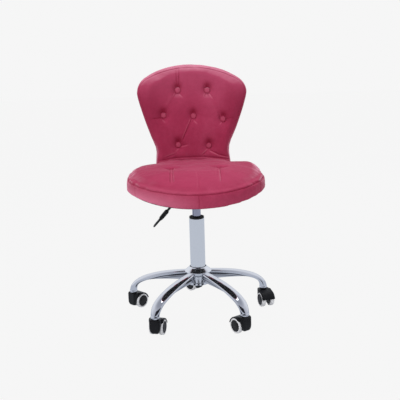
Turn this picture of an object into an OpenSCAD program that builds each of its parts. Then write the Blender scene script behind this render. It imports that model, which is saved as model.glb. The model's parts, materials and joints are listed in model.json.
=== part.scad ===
// Swivel styling chair: five-leg base on hooded twin-wheel casters, gas lift,
// round padded seat and a button-tufted fan-shaped back.
// Millimetres. The origin is on the floor under the column, and the sitter faces -Y.

/* [Base] */
// Radius of the circle on which the caster stems stand
stem_circle_r = 238; // [225:1:260]
// Turn of the base about the column, in degrees
base_turn = -0.6; // [-20:0.1:20]
// Height of the open end of each leg above the floor
leg_end_z = 59.8; // [59.8:0.1:64]
// Height of the middle of the leg where it meets the hub
leg_root_z = 136.5; // [132:0.5:140]
// Reach of the flat part of the leg's arch
leg_arch_r = 150; // [130:1:165]
// Height of the leg's arch
leg_arch_z = 129; // [122:1:134]
// Height of the shoulder over the caster
leg_shoulder_z = 117; // [110:1:124]
// Upright thickness of the leg at five stations from the hub to the caster
leg_depths = [36, 28, 19.5, 18, 24.5]; // [14:0.5:40]
// Sideways width of the leg at the same five stations
leg_widths = [28, 34, 38, 36, 29]; // [22:0.5:40]
// Radius of the hub at its waist
hub_r = 33; // [31:0.5:36]
// Radius of the hub's lower flange
hub_flange_r = 35; // [33:0.5:38]
// Height of the hub's lower face
hub_z0 = 109; // [105:0.5:111]
// Height of the hub's upper lip
hub_z1 = 172; // [168:0.5:175]
// Radius of the hub's bell over the roots of the legs
bell_r = 45; // [42:0.5:46]
// Height of the rim of the bell
bell_z = 153; // [152.5:0.5:156]

/* [Casters] */
// Radius of a wheel over its tread
wheel_r = 25; // [22:0.5:26]
// Width of one wheel
wheel_w = 15; // [12:0.5:17]
// Thickness of the tread ring
tread_t = 4.6; // [3:0.2:7]
// Thickness of the web between the two wheels
web_t = 15; // [14:0.5:18]
// Distance from the stem to the axle
caster_trail = 22; // [20:0.5:26]
// Radius of the axle
axle_r = 3; // [2.5:0.25:4]
// Radius of the stem
stem_r = 5; // [4:0.25:5.5]
// Length of the stem inside the leg
stem_in_leg = 17; // [12:0.5:19]
// Depth of the stem inside the hood
stem_in_hood = 26; // [18:0.5:30]
// Wall of the socket round the stem
socket_wall = 1.5; // [1:0.25:2]
// Thickness of the hood over the wheels
hood_wall = 2.5; // [2:0.25:4]
// Half of the width of the hood's block round the stem
block_half = 20; // [18:0.5:22]
// Height of the hood's chin above the floor
chin_z = 11.5; // [9:0.5:14]
// Gap between a wheel and the hood
wheel_gap = 1; // [0.6:0.1:1.5]
// Direction in which each caster trails, in degrees from the front
trail_turns = [215.5, 17, 228, 135.5, 163]; // [0:0.5:360]

/* [Column] */
// Radius of the outer column tube
tube_r = 25; // [24:0.5:26]
// Wall of the outer column tube
tube_wall = 2; // [1.5:0.25:2.5]
// Height of the top of the column tube
tube_z1 = 331; // [315:1:340]
// Height of the guide collar above the tube
collar_h = 9; // [6:0.5:10]
// Length of the guide bush inside the tube
bush_len = 60; // [45:1:70]
// Radius of the gas cylinder
cylinder_r = 14; // [13:0.5:15]
// Wall of the gas cylinder
cylinder_wall = 2.5; // [1.5:0.25:3]
// Height of the lower end of the gas cylinder
cylinder_z0 = 178; // [174:1:190]
// Radius of the piston rod
rod_r = 5; // [4:0.25:6]
// Height of the piston at the top of the rod
piston_z = 268; // [262:1:275]
// Radius of the release pin
pin_r = 3; // [2.5:0.25:3.5]
// Travel of the release pin
pin_travel = 2.7; // [2:0.1:3]

/* [Mechanism] */
// Width of the seat plate
plate_w = 170; // [150:2:190]
// Depth of the seat plate from front to back
plate_d = 118; // [100:2:122]
// Thickness of the plate's steel
plate_t = 2.5; // [2:0.25:3]
// Inner width of the plate's channel
channel_w = 60; // [56:1:66]
// Depth of the channel below the seat
channel_h = 27; // [25:0.5:30]
// Length of the tapered seat of the gas cylinder
taper_len = 19; // [16:0.5:21]
// Wall of the taper socket
taper_wall = 4.5; // [3:0.25:6]
// Radius of the lever's rod
lever_r = 3.5; // [3:0.25:4]
// Distance from the column axis to the lever's pivot
pivot_x = 26; // [22:0.5:27]
// Distance from the column axis to the lever's bend
bend_x = 42; // [40:0.5:46]
// Slope of the lever below the horizontal, in degrees
lever_slope = 48; // [40:1:52]
// Length of the lever from its bend to its tip
lever_len = 152; // [130:1:165]
// Length of the lever's grip
grip_len = 73; // [60:1:80]
// Thickness of the grip's sleeve
sleeve_t = 15; // [13:0.5:18]
// Thickness of the grip's flat paddle
paddle_t = 6; // [4:0.5:8]
// Width of the grip's flat paddle
paddle_w = 28; // [24:1:32]

/* [Seat] */
// Half of the seat's width
seat_half_w = 224; // [215:1:240]
// Reach of the seat in front of the column
seat_front = 231; // [215:1:240]
// Reach of the seat behind the column
seat_rear = 196; // [190:1:198]
// Height of the seat board's lower face
board_z = 434; // [430:1:445]
// Thickness of the seat board
board_t = 12; // [9:1:15]
// Length of the flat middle of the board in front of the column
board_flat = 62; // [62:1:80]
// How far the board bends down at the front
front_drop = 24; // [12:1:26]
// Height of the upholstered side band
band_h = 39; // [34:1:46]
// How far the top seam falls at the front
seam_drop = 15; // [8:1:18]
// Height of the seat's crown over its seam
crown_h = 28; // [20:1:36]
// Thickness of the padding round the edge of the board
band_pad = 14; // [10:1:20]

/* [Back] */
// Height of the top of the back
back_top_z = 828; // [815:1:845]
// Radius of the back's top edge
top_arc_r = 347; // [320:1:400]
// Half of the back's greatest width
back_half_w = 193.5; // [188:0.5:198]
// Height of the back's greatest width
wide_z = 737; // [728:1:744]
// Radius of the back's upper corners
shoulder_r = 56; // [52:1:60]
// Half of the back's waist
waist_half_w = 131; // [126:1:136]
// Height of the back's waist
waist_z = 527; // [515:1:540]
// Height of the lower end of the back
back_z0 = 441; // [438:1:446]
// Recline of the back, in degrees
back_lean = 8; // [6:0.5:10]
// Radius of the back's curve round the sitter
back_curve_r = 520; // [450:10:700]
// Place of the back board's front face at the height of its lower end
back_y = 236; // [235:1:240]
// Thickness of the back board
back_board_t = 12; // [9:1:15]
// Thickness of the back's padding in front of the board
back_pad_t = 35; // [28:1:36]
// Width of the padding round the edge of the back board
back_edge = 12; // [8:1:16]
// Thickness of the rear cover
cover_t = 4; // [3:0.5:6]

/* [Buttons] */
// Radius of a button
button_r = 10.8; // [9:0.2:12]
// Height of a button's dome
button_h = 7; // [5:0.5:8]
// Depth of the buttons' seats in the padding
tuft_depth = 12; // [8:0.5:16]
// Places of the buttons, across and up, tied by hand and so not quite even
button_places = [[-50, 745], [54, 743], [-104, 659], [3, 654], [108, 645], [-54, 554], [55, 548]]; // [-110:1:760]

/* [Brackets] */
// Distance from the middle to each back bracket
bracket_x = 62; // [50:1:75]
// Width of a back bracket
bracket_w = 36; // [28:1:44]
// Thickness of a back bracket
bracket_t = 4; // [3:0.5:5]
// Reach of the bracket under the seat
bracket_reach = 110; // [100:1:130]
// Height of the bracket behind the back board
bracket_h = 100; // [80:1:130]
// Radius of the screws' shanks
screw_r = 3; // [2:0.25:3.5]
// Radius of the screws' heads
screw_head_r = 5.5; // [5:0.25:7]
// Height of the screws' heads
screw_head_h = 2.5; // [2:0.25:3.5]

/* [Hidden] */

leg_count = 5;
leg_step = 360 / leg_count;
first_leg = leg_step / 2 + base_turn;
run_gap = 0.05;   // radial play of a turning or sliding fit
soft_gap = 0.3;   // gap left round soft and curved faces
cut = 1;          // how far a cutting shape runs past the face it cuts
$fn = 64;

chrome = "gainsboro";
steel = "silver";
black_plastic = "dimgray";
velvet = "palevioletred";
plywood = "burlywood";

// Column and mechanism heights that follow from the driving sizes
tube_z0 = hub_z0 + 4;
tube_in_r = tube_r - tube_wall;
plate_z1 = board_z - 1;
channel_z0 = plate_z1 - channel_h;
lever_z = channel_z0 + plate_t + 12;
pin_z1 = lever_z - lever_r - soft_gap;
cylinder_z1 = pin_z1 - pin_travel - 1;
taper_z0 = cylinder_z1 - taper_len;
taper_top_r = cylinder_r - 1;
pin_hole_len = 16;
pin_z0 = cylinder_z1 - pin_hole_len + pin_travel + 0.5;
bearing_h = 8;
bearing_z0 = tube_z0 + tube_wall;
clip_t = 1.6;

// Caster sizes that follow
wheel_in_y = web_t / 2 + 0.5;
wheel_out_y = wheel_in_y + wheel_w;
axle_half = wheel_out_y - 3.2;
core_r = wheel_r - tread_t;
well_r = wheel_r + wheel_gap;
hood_r = well_r + hood_wall;
hood_front = 14;
hood_z1 = leg_end_z - 2.3;
hood_len = hood_front + caster_trail + hood_r;
hood_round = 7;
block_x = 6;          // the block round the stem ends this far behind it
socket_r = stem_r + socket_wall;
flange_t = 1.5;
socket_h = stem_in_leg + 2;
bell_edge = 1.5;

// Seat and back sizes that follow
board_half_w = seat_half_w - band_pad;
board_front = seat_front - band_pad;
board_rear = seat_rear - band_pad;
crown_y = 80;         // the crown is highest this far behind the column
crown_power = 5;
drop_power = 1.6;
rear_power = 3.4;
seat_steps = 56;
board_scales = [0.285, 0.42, 0.6, 0.8, 1];
cover_inset = 8;      // the base cover's edge lies this far inside the seat's
cloth_gap = 0.15;     // play of the base cover above and below
back_scales = [0.25, 0.5, 0.75, 1];
side_turn = 13.5;     // slope of the back's sides under the shoulders
side_pull = 76;
waist_pull = [4, 47];
foot_corner_r = 30;
arm_room = 1;         // play behind the brackets' flat arms, as the rear cover is curved
pad_front_inset = 24;
cover_edge = 26;      // width of the rear cover's rounded border

// Fixing sizes that follow
pivot_r = 2;
eye_r = lever_r + 0.2;
eye_half = 5.3;
lug_t = 3;
screw_bite = 8;       // how far a screw enters a board
shank_hole_r = screw_r + run_gap;
head_hole_r = screw_head_r + run_gap;
head_sink = 0.2;      // the bracket screws' heads lie this far below the arm's face

// A point on a cubic curve through the first and last of four points
function bez(p, t) =
    pow(1 - t, 3) * p[0] + 3 * t * pow(1 - t, 2) * p[1]
    + 3 * t * t * (1 - t) * p[2] + pow(t, 3) * p[3];

// The direction of that curve
function bez_slope(p, t) =
    pow(1 - t, 2) * (p[1] - p[0]) + 2 * t * (1 - t) * (p[2] - p[1])
    + t * t * (p[3] - p[2]);

function unit(v) = v / norm(v);

function arc(c, r, a0, a1, n) =
    [for (i = [0:n]) c + r * [cos(a0 + (a1 - a0) * i / n), sin(a0 + (a1 - a0) * i / n)]];

// A smooth value between evenly spaced stations
function between(list, t) =
    let (n = len(list) - 1, s = min(t * n, n - 0.0001), i = floor(s), f = s - i)
    let (a = list[max(i - 1, 0)], b = list[i], c = list[i + 1], d = list[min(i + 2, n)])
    b + f * (c - a) / 2 + f * f * (2 * a - 5 * b + 4 * c - d) / 2
    + f * f * f * (3 * b - a - 3 * c + d) / 2;

// Closed solid through rings of equal length, with a fan over each end; turned_over splits
// the panels along their other diagonal, so that a face laid on another follows it
module loft(rings, turned_over = false) {
    n = len(rings[0]);
    m = len(rings);
    mean0 = [for (k = [0:2]) let (s = [for (p = rings[0]) p[k]]) s * [for (p = rings[0]) 1] / n];
    mean1 = [for (k = [0:2]) let (s = [for (p = rings[m - 1]) p[k]]) s * [for (p = rings[0]) 1] / n];
    points = [for (r = rings) each r, mean0, mean1];
    sides = [
        for (j = [0:m - 2], i = [0:n - 1])
        let (a = j * n + i, b = j * n + (i + 1) % n)
        each turned_over ? [[a, b, a + n], [b, b + n, a + n]] : [[a, b, b + n], [a, b + n, a + n]]
    ];
    lower = [for (i = [0:n - 1]) [m * n, (i + 1) % n, i]];
    upper = [for (i = [0:n - 1]) [m * n + 1, (m - 1) * n + i, (m - 1) * n + (i + 1) % n]];
    polyhedron(points, concat(sides, lower, upper), convexity = 6);
}

// Turned part: a profile of [radius, height] points spun about Z
module turned(profile) rotate_extrude(convexity = 4) polygon(profile);

// Places the children on leg number i
module on_leg(i) rotate([0, 0, first_leg + leg_step * (i - 1)]) children();

// Places the children on caster number i, with +X as the way it trails
module on_caster(i)
    on_leg(i) translate([0, -stem_circle_r, 0])
    rotate([0, 0, trail_turns[i - 1] - first_leg - leg_step * (i - 1) - 90]) children();

// ---- Base ----

leg_path = [[hub_r - 4, leg_root_z], [leg_arch_r, leg_arch_z], [stem_circle_r + 3, leg_shoulder_z],
    [stem_circle_r, leg_end_z - 1]];
leg_steps = 20;
leg_sides = 20;
leg_flatness = 2.5;

// The same side of zero as v, with its size raised to a power
function bent(v, k) = sign(v) * pow(abs(v), k);

// Ring number j of a leg, an oval square to the leg's path
function leg_ring(j) =
    let (t = j / leg_steps, c = bez(leg_path, t), d = unit(bez_slope(leg_path, t)))
    let (h = between(leg_depths, t) / 2, w = between(leg_widths, t) / 2)
    [for (i = [0:leg_sides - 1]) let (a = 360 * i / leg_sides)
        let (u = w * bent(cos(a), 2 / leg_flatness), v = h * bent(sin(a), 2 / leg_flatness))
        [u, -(c[0] - v * d[1]), c[1] + v * d[0]]];

module leg(i) color(chrome) on_leg(i) difference() {
    loft([for (j = [0:leg_steps]) leg_ring(j)]);
    turned([[0, hub_z0], each hub_side(run_gap), [0, hub_z1]]);
    translate([0, -stem_circle_r, leg_end_z - socket_r]) cylinder(r = 4 * socket_r, h = socket_r);
    translate([0, -stem_circle_r, leg_end_z - cut]) cylinder(r = socket_r + run_gap, h = socket_h + cut);
}

// Outer side of the hub, from its flange up over the bell, grown by gap
function hub_side(gap) = [
    each arc([hub_flange_r - 2, hub_z0 + 2], 2 + gap, -90, 0, 4),
    each arc([hub_flange_r - 2, hub_z0 + 6], 2 + gap, 0, 90, 4),
    [hub_r + gap, hub_z0 + 8.5], [hub_r + gap, bell_z - 15],
    each arc([bell_r - bell_edge, bell_z], bell_edge + gap, -50, 48, 4),
    [tube_r + 5 + gap, hub_z1 - 3], [tube_r + 4 + gap, hub_z1 + gap]
];

module base_hub() color(chrome) turned([
    [tube_r, hub_z0 + 4], [tube_r - 3, hub_z0 + 4], [tube_r - 3, hub_z0], each hub_side(0),
    [tube_r + 2.5, hub_z1], [tube_r + 2.5, hub_z1 - 5], [tube_r, hub_z1 - 5]
]);

// ---- Casters ----

module caster_sockets() color(black_plastic) for (i = [1:leg_count])
    on_leg(i) translate([0, -stem_circle_r, leg_end_z]) difference() {
        union() {
            translate([0, 0, -flange_t]) cylinder(r = socket_r + 3, h = flange_t);
            cylinder(r = socket_r, h = socket_h);
        }
        translate([0, 0, -flange_t - cut]) cylinder(r = stem_r, h = stem_in_leg + flange_t + cut);
    }

module caster_stems() color(steel) for (i = [1:leg_count])
    on_leg(i) translate([0, -stem_circle_r, 0]) turned([
        [0, hood_z1 - stem_in_hood], [stem_r - 1, hood_z1 - stem_in_hood],
        [stem_r, hood_z1 - stem_in_hood + 1],
        [stem_r, leg_end_z + stem_in_leg - 1], [stem_r - 1, leg_end_z + stem_in_leg],
        [0, leg_end_z + stem_in_leg]
    ]);

// Side outline of the hood: a fender over the wheels run into a block round the stem
hood_outline = [
    each arc([-hood_front + 6, chin_z + 6], 6, 180, 270, 6),
    [block_x, chin_z], [caster_trail, wheel_r - axle_r - 6],
    each arc([caster_trail, wheel_r], hood_r, 12, 72, 10),
    [stem_r + 8, hood_z1],
    each arc([-hood_front + 5, hood_z1 - 5], 5, 90, 180, 6)
];

// Front outline of the fender, with rounded upper edges
module fender_outline() {
    translate([-wheel_out_y, 0]) square([2 * wheel_out_y, hood_z1 - hood_round]);
    translate([-wheel_out_y + hood_round, 0]) square([2 * (wheel_out_y - hood_round), hood_z1]);
    for (s = [-1, 1])
        translate([s * (wheel_out_y - hood_round), hood_z1 - hood_round]) circle(r = hood_round);
}

// Front outline of the block round the stem, narrow at its rounded foot
block_side = [for (i = [0:8]) let (a = 90 * i / 8)
    [block_half / 2 * (1 + sin(a)), chin_z + (block_half - 1) * (1 - cos(a))]];
block_top = arc([block_half - hood_round, hood_z1 - hood_round], hood_round, 0, 90, 6);
block_outline = concat(block_side, block_top, [for (i = [6:-1:0]) [-block_top[i][0], block_top[i][1]]],
    [for (i = [8:-1:0]) [-block_side[i][0], block_side[i][1]]]);

module caster_hood(i) color(black_plastic) on_caster(i) difference() {
    intersection() {
        rotate([90, 0, 0]) translate([0, 0, -wheel_out_y - cut])
            linear_extrude(2 * wheel_out_y + 2 * cut) polygon(hood_outline);
        rotate([90, 0, 90]) union() {
            translate([0, 0, -hood_front - cut]) linear_extrude(hood_len + 2 * cut) polygon(block_outline);
            translate([0, 0, block_x]) linear_extrude(hood_len - hood_front - block_x + cut) fender_outline();
        }
    }
    for (s = [-1, 1]) translate([caster_trail, s * (web_t / 2 + 20), wheel_r])
        rotate([90, 0, 0]) cylinder(r = well_r, h = 40, center = true);
    translate([caster_trail, 0, wheel_r]) rotate([90, 0, 0])
        cylinder(r = axle_r, h = web_t + 2 * cut, center = true);
    translate([0, 0, hood_z1 - stem_in_hood - 1])
        cylinder(r = stem_r + run_gap, h = stem_in_hood + 1 + cut);
}

module caster_axle(i) color(steel) on_caster(i) translate([caster_trail, 0, wheel_r])
    rotate([90, 0, 0]) cylinder(r = axle_r, h = 2 * axle_half, center = true);

// Places a wheel's turned pieces; side is 1 or -1, and +Z runs out along the axle
module on_axle(i, side) on_caster(i)
    translate([caster_trail, side * wheel_in_y, wheel_r]) rotate([-side * 90, 0, 0]) children();

module wheel_core(i, side) color(black_plastic) on_axle(i, side) turned([
    [axle_r + run_gap, 0], [axle_r + 4, 0], [axle_r + 4, 1], [core_r - 3, 2], [core_r, 0.5],
    [core_r, wheel_w - 0.8], [core_r - 2, wheel_w - 0.8], [core_r - 3, wheel_w - 2],
    [core_r - 8, wheel_w - 0.9], [0, wheel_w - 0.4], [0, wheel_w - 3], [axle_r + run_gap, wheel_w - 3]
]);

module wheel_tread(i, side) color("whitesmoke") on_axle(i, side) turned([
    [core_r, 0.5], [core_r, wheel_w - 0.8],
    each arc([wheel_r - 3.2, wheel_w - 3.4], 3.2, 75, 0, 6),
    each arc([wheel_r - 3.2, 3.4], 3.2, 0, -75, 6)
]);

// ---- Column ----

module column_tube() color(chrome) turned([
    [rod_r + 0.5, tube_z0], [tube_r - 1, tube_z0], [tube_r, tube_z0 + 1], [tube_r, tube_z1],
    [tube_in_r, tube_z1], [tube_in_r, bearing_z0], [rod_r + 0.5, bearing_z0]
]);

module guide_bush() color("black") turned([
    [cylinder_r + run_gap, tube_z1 - bush_len], [tube_in_r, tube_z1 - bush_len],
    [tube_in_r, tube_z1], [tube_r, tube_z1], [tube_r, tube_z1 + collar_h - 4],
    each arc([tube_r - 4, tube_z1 + collar_h - 4], 4, 10, 90, 5),
    [cylinder_r + 2, tube_z1 + collar_h], [cylinder_r + run_gap, tube_z1 + collar_h - 2]
]);

module thrust_bearing() color(steel) {
    race_t = bearing_h / 4;
    for (z = [0, bearing_h - race_t]) translate([0, 0, bearing_z0 + z]) difference() {
        cylinder(r = rod_r + 6, h = race_t);
        translate([0, 0, -cut]) cylinder(r = rod_r + 0.5, h = race_t + 2 * cut);
    }
    for (a = [0:40:320]) rotate([0, 0, a])
        translate([rod_r + 3.2, 0, bearing_z0 + bearing_h / 2]) sphere(r = bearing_h / 2 - race_t, $fn = 24);
}

module piston_rod() color(steel) turned([
    [0, tube_z0 - clip_t - 2], [rod_r - 1, tube_z0 - clip_t - 2], [rod_r - 1, tube_z0],
    [rod_r, tube_z0], [rod_r, bearing_z0 + bearing_h], [rod_r + 3, bearing_z0 + bearing_h],
    [rod_r + 3, bearing_z0 + bearing_h + 3], [rod_r, bearing_z0 + bearing_h + 3],
    [rod_r, piston_z - 8], [cylinder_r - cylinder_wall - run_gap, piston_z - 8],
    [cylinder_r - cylinder_wall - run_gap, piston_z], [0, piston_z]
]);

module retaining_clip() color(steel) difference() {
    translate([0, 0, tube_z0 - clip_t]) cylinder(r = rod_r + 5, h = clip_t);
    translate([0, 0, tube_z0 - clip_t - cut]) cylinder(r = rod_r - 1, h = clip_t + 2 * cut);
    translate([-1.5, 0, tube_z0 - clip_t - cut]) cube([3, rod_r + 6, clip_t + 2 * cut]);
}

module gas_cylinder() color(chrome) turned([
    [rod_r + run_gap, cylinder_z0], [cylinder_r - 1, cylinder_z0], [cylinder_r, cylinder_z0 + 1],
    [cylinder_r, taper_z0], [taper_top_r, cylinder_z1],
    [pin_r + run_gap, cylinder_z1], [pin_r + run_gap, cylinder_z1 - pin_hole_len],
    [0, cylinder_z1 - pin_hole_len], [0, cylinder_z1 - pin_hole_len - 6],
    [cylinder_r - cylinder_wall, cylinder_z1 - pin_hole_len - 6],
    [cylinder_r - cylinder_wall, cylinder_z0 + 12], [rod_r + run_gap, cylinder_z0 + 12]
]);

module release_pin() color(steel) turned([
    [0, pin_z0], [pin_r, pin_z0],
    [pin_r, pin_z1 - 1.5], [pin_r - 1.5, pin_z1], [0, pin_z1]
]);

// ---- Mechanism ----

hole_x = plate_w / 2 - 14;
hole_y = plate_d / 2 - 14;

// Places the children at the four plate screws
module plate_screw_places()
    for (x = [-hole_x, hole_x], y = [-hole_y, hole_y]) translate([x, y, 0]) children();

module seat_plate() color("dimgray") difference() {
    union() {
        translate([-plate_w / 2, -plate_d / 2, plate_z1 - plate_t]) cube([plate_w, plate_d, plate_t]);
        translate([-channel_w / 2 - plate_t, -plate_d / 2, channel_z0])
            cube([channel_w + 2 * plate_t, plate_d, channel_h]);
        for (y = [-plate_d / 2, plate_d / 2 - plate_t])
            translate([-plate_w / 2, y, plate_z1 - 8]) cube([plate_w, plate_t, 8]);
    }
    difference() {
        translate([-channel_w / 2, -plate_d / 2 + plate_t, channel_z0 + plate_t])
            cube([channel_w, plate_d - 2 * plate_t, channel_h]);
        for (y = [-eye_half - lug_t - 0.2, eye_half + 0.2]) translate([-pivot_x - 4, y, channel_z0])
            cube([8, lug_t, lever_z - channel_z0 + 6]);
    }
    translate([0, 0, channel_z0 - cut]) cylinder(r = cylinder_r + 1, h = plate_t + 2 * cut);
    translate([-channel_w / 2 - plate_t - cut, 0, lever_z]) rotate([0, 90, 0])
        cylinder(r = lever_r + 1.6, h = plate_t + 2 * cut);
    translate([-pivot_x, 0, lever_z]) rotate([90, 0, 0])
        cylinder(r = pivot_r + run_gap, h = 24, center = true);
    plate_screw_places() translate([0, 0, plate_z1 - plate_t - cut])
        cylinder(r = shank_hole_r, h = plate_t + 2 * cut);
}

module taper_socket() color("dimgray") turned([
    [cylinder_r, taper_z0], [cylinder_r + taper_wall, taper_z0],
    [cylinder_r + taper_wall, channel_z0 - 3], [cylinder_r + 12, channel_z0 - 3],
    [cylinder_r + 12, channel_z0], [cylinder_r + 1, channel_z0], [cylinder_r + 1, channel_z0 + plate_t],
    [taper_top_r, cylinder_z1]
]);

module lever_pivot() color(steel) translate([-pivot_x, 0, lever_z]) rotate([90, 0, 0])
    cylinder(r = pivot_r, h = 2 * (eye_half + lug_t) + 0.4, center = true);

// Puts +X along the lever's sloping arm, starting at its bend
module on_lever_arm() translate([-bend_x, 0, lever_z]) rotate([0, 90 + 90 - lever_slope, 0]) children();

grip_start = lever_len - grip_len;
sleeve_len = grip_len * 0.55;
rod_in_grip = 20;

module height_lever() color("black") difference() {
    union() {
        translate([-bend_x, 0, lever_z]) rotate([0, 90, 0]) cylinder(r = lever_r, h = bend_x + 1.5);
        translate([-bend_x, 0, lever_z]) sphere(r = lever_r + 0.25);
        on_lever_arm() rotate([0, 90, 0]) cylinder(r = lever_r, h = grip_start + rod_in_grip);
        translate([-pivot_x, 0, lever_z]) rotate([90, 0, 0])
            cylinder(r = eye_r, h = 2 * eye_half, center = true);
    }
    translate([-pivot_x, 0, lever_z]) rotate([90, 0, 0])
        cylinder(r = pivot_r + run_gap, h = 2 * (eye_half + cut), center = true);
}

// Side outline of the grip along its length: sleeve, step and thin paddle
grip_side = [
    [0, -sleeve_t * 0.32], [6, -sleeve_t / 2], [sleeve_len - 8, -sleeve_t / 2],
    [sleeve_len, -paddle_t / 2 - 1],
    [grip_len - 4, -paddle_t / 2], each arc([grip_len - paddle_t / 2, 0], paddle_t / 2, -80, 80, 6),
    [sleeve_len, paddle_t / 2], [sleeve_len - 10, sleeve_t / 2], [6, sleeve_t / 2], [0, sleeve_t * 0.32]
];
grip_top = [
    [0, -8], [8, -10], [sleeve_len, -paddle_w / 2], each arc([grip_len - 8, -paddle_w / 2 + 8], 8, -90, 0, 5),
    each arc([grip_len - 8, paddle_w / 2 - 8], 8, 0, 90, 5), [sleeve_len, paddle_w / 2], [8, 10], [0, 8]
];

module lever_grip() color("black") on_lever_arm() translate([grip_start, 0, 0]) difference() {
    intersection() {
        rotate([90, 0, 0]) linear_extrude(paddle_w + 2, center = true) polygon(grip_side);
        linear_extrude(sleeve_t + 2, center = true) polygon(grip_top);
    }
    translate([-cut, 0, 0]) rotate([0, 90, 0]) cylinder(r = lever_r, h = rod_in_grip + cut);
}

// A screw with its head down and its shank up
module screw_up(len) {
    translate([0, 0, -screw_head_h]) cylinder(r = screw_head_r, h = screw_head_h);
    cylinder(r = screw_r, h = len);
}

module plate_screws() color(steel) plate_screw_places()
    translate([0, 0, plate_z1 - plate_t]) screw_up(plate_t + screw_bite);

// ---- Seat ----

// Fall of the board or the seam at a place in front of the column
function fall(y, depth) = depth * pow(max(0, -y - board_flat) / (seat_front - board_flat), drop_power);

// Point of the seat's plan at angle a for the given half width, front and rear reach
function plan_point(a, half_w, front, rear) =
    let (c = cos(a), s = sin(a), k = s < 0 ? 1 : 2 / rear_power)
    [half_w * sign(c) * pow(abs(c), k), (s < 0 ? front : rear) * sign(s) * pow(abs(s), k)];

function seat_angle(i) = 360 * (i + 0.5) / seat_steps;

// Height of the seat's top at a place
function seat_top(x, y) =
    let (rho = norm([x / seat_half_w, (y - crown_y) / (seat_front + crown_y)]))
    board_z + band_h - fall(y, seam_drop) + crown_h * max(0, 1 - pow(rho, crown_power));

// Ring of the seat's plan drawn in by inset and scaled by s, at a height above the board's lower face
function under_ring(inset, s, h) = [for (i = [0:seat_steps - 1])
    let (p = s * plan_point(seat_angle(i), seat_half_w - inset, seat_front - inset, seat_rear - inset))
    [p[0], p[1], board_z + h - fall(p[1], front_drop)]];

function top_ring(s, lower) = [for (i = [0:seat_steps - 1])
    let (p = s * plan_point(seat_angle(i), seat_half_w, seat_front, seat_rear))
    [p[0], p[1], seat_top(p[0], p[1]) - lower]];

// Half way up the side band, a little proud
function band_ring() = [for (i = [0:seat_steps - 1])
    let (p = plan_point(seat_angle(i), seat_half_w, seat_front, seat_rear))
    let (low = board_z - fall(p[1], front_drop), high = seat_top(p[0], p[1]))
    [p[0] * 1.006, p[1], (low + high) / 2]];

// The rings of the seat's top, from its edge to the middle
top_scales = [0.975, 0.93, 0.85, 0.7, 0.5, 0.25];

// Rings over the board's plan at one height, growing outward or shrinking inward
function board_rings(inset, h) = [for (s = board_scales) under_ring(inset, s, h)];
function board_rings_in(inset, h) =
    [for (i = [len(board_scales) - 1:-1:0]) under_ring(inset, board_scales[i], h)];

// Places the children at the screws under the seat in each bracket's foot
module foot_screw_places() at_brackets() for (y = [-1, 1])
    translate([0, -bracket_reach + 22 + y * 12, 0]) children();

// Holes for all the screws under the seat, from z up
module under_seat_holes(z, h) {
    plate_screw_places() translate([0, 0, z]) cylinder(r = shank_hole_r, h = h);
    foot_screw_places() translate([0, 0, z]) cylinder(r = shank_hole_r, h = h);
}

module seat_board() color(plywood) difference() {
    loft(concat(board_rings(band_pad, 0), board_rings_in(band_pad, board_t)));
    under_seat_holes(board_z - cut, screw_bite + cut);
}

module seat_cushion() color(velvet) loft(concat(
    board_rings(band_pad - soft_gap, board_t + soft_gap),
    [under_ring(band_pad - soft_gap, 1, 0), under_ring(1.5, 1, 0), under_ring(0, 1, 3), band_ring(),
        top_ring(1, 3)],
    [for (s = top_scales) top_ring(s, 0)]
), true);

module seat_base_cover() color("black") difference() {
    loft(concat(board_rings(band_pad, cloth_gap - 1), [under_ring(cover_inset, 1, cloth_gap - 1),
        under_ring(cover_inset, 1, -cloth_gap)], board_rings_in(band_pad, -cloth_gap)), true);
    under_seat_holes(board_z - 1 - cut, 1 + 2 * cut);
}

// ---- Back ----

// Right half of the back's outline drawn in by inset, from the top to the lower end
function half_outline(inset) =
    let (top_c = [0, back_top_z - top_arc_r], top_r = top_arc_r - inset)
    let (sh_c = [back_half_w - shoulder_r, wide_z], sh_r = shoulder_r - inset)
    let (meet = atan2(sh_c[1] - top_c[1], sh_c[0] - top_c[0]), foot_r = foot_corner_r - inset / 2)
    let (waist = [waist_half_w - inset, waist_z], low = sh_c + sh_r * [cos(side_turn), -sin(side_turn)])
    let (side = [low, low - side_pull * [sin(side_turn), cos(side_turn)], waist + waist_pull, waist])
    let (foot = arc([waist[0] + 3 - foot_r, back_z0 + inset / 2 + foot_r], foot_r, 0, -80, 4), end = foot[4])
    concat(
        [for (i = [0:9]) top_c + top_r * [sin((90 - meet) * i / 10), cos((90 - meet) * i / 10)]],
        arc(sh_c, sh_r, meet, -side_turn, 7),
        [for (i = [1:7]) bez(side, i / 7)],
        foot,
        [for (i = [7:-2:1]) [end[0] * i / 9, end[1]]]
    );

function mirrored(half) = concat(half, [for (i = [len(half) - 1:-1:1]) [-half[i][0], half[i][1]]]);

// Place on the back's curved and reclined face, d behind the board's front face
function back_point(x, z, d) =
    [x, back_y + (z - back_z0) * tan(back_lean) - back_curve_r + sqrt(pow(back_curve_r, 2) - x * x) + d, z];

back_middle = [0, 640];
cover_d = back_board_t + bracket_t + arm_room;   // depth of the rear cover's inner face

// Ring of the back drawn in by inset and scaled by s, at depth d
function back_ring(inset, s, d) = [for (p = mirrored(half_outline(inset)))
    let (q = back_middle + s * (p - back_middle)) back_point(q[0], q[1], d)];

// Rings over the back at one depth, growing outward or shrinking inward
function back_rings(inset, d) = [for (s = back_scales) back_ring(inset, s, d)];
function back_rings_in(inset, d) =
    [for (i = [len(back_scales) - 1:-1:0]) back_ring(inset, back_scales[i], d)];

module back_board() color(plywood) difference() {
    loft(concat(back_rings(back_edge, back_board_t), back_rings_in(back_edge, 0)));
    bracket_back_screws(shank_hole_r, 0, bracket_t + screw_bite + soft_gap);
}

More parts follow.
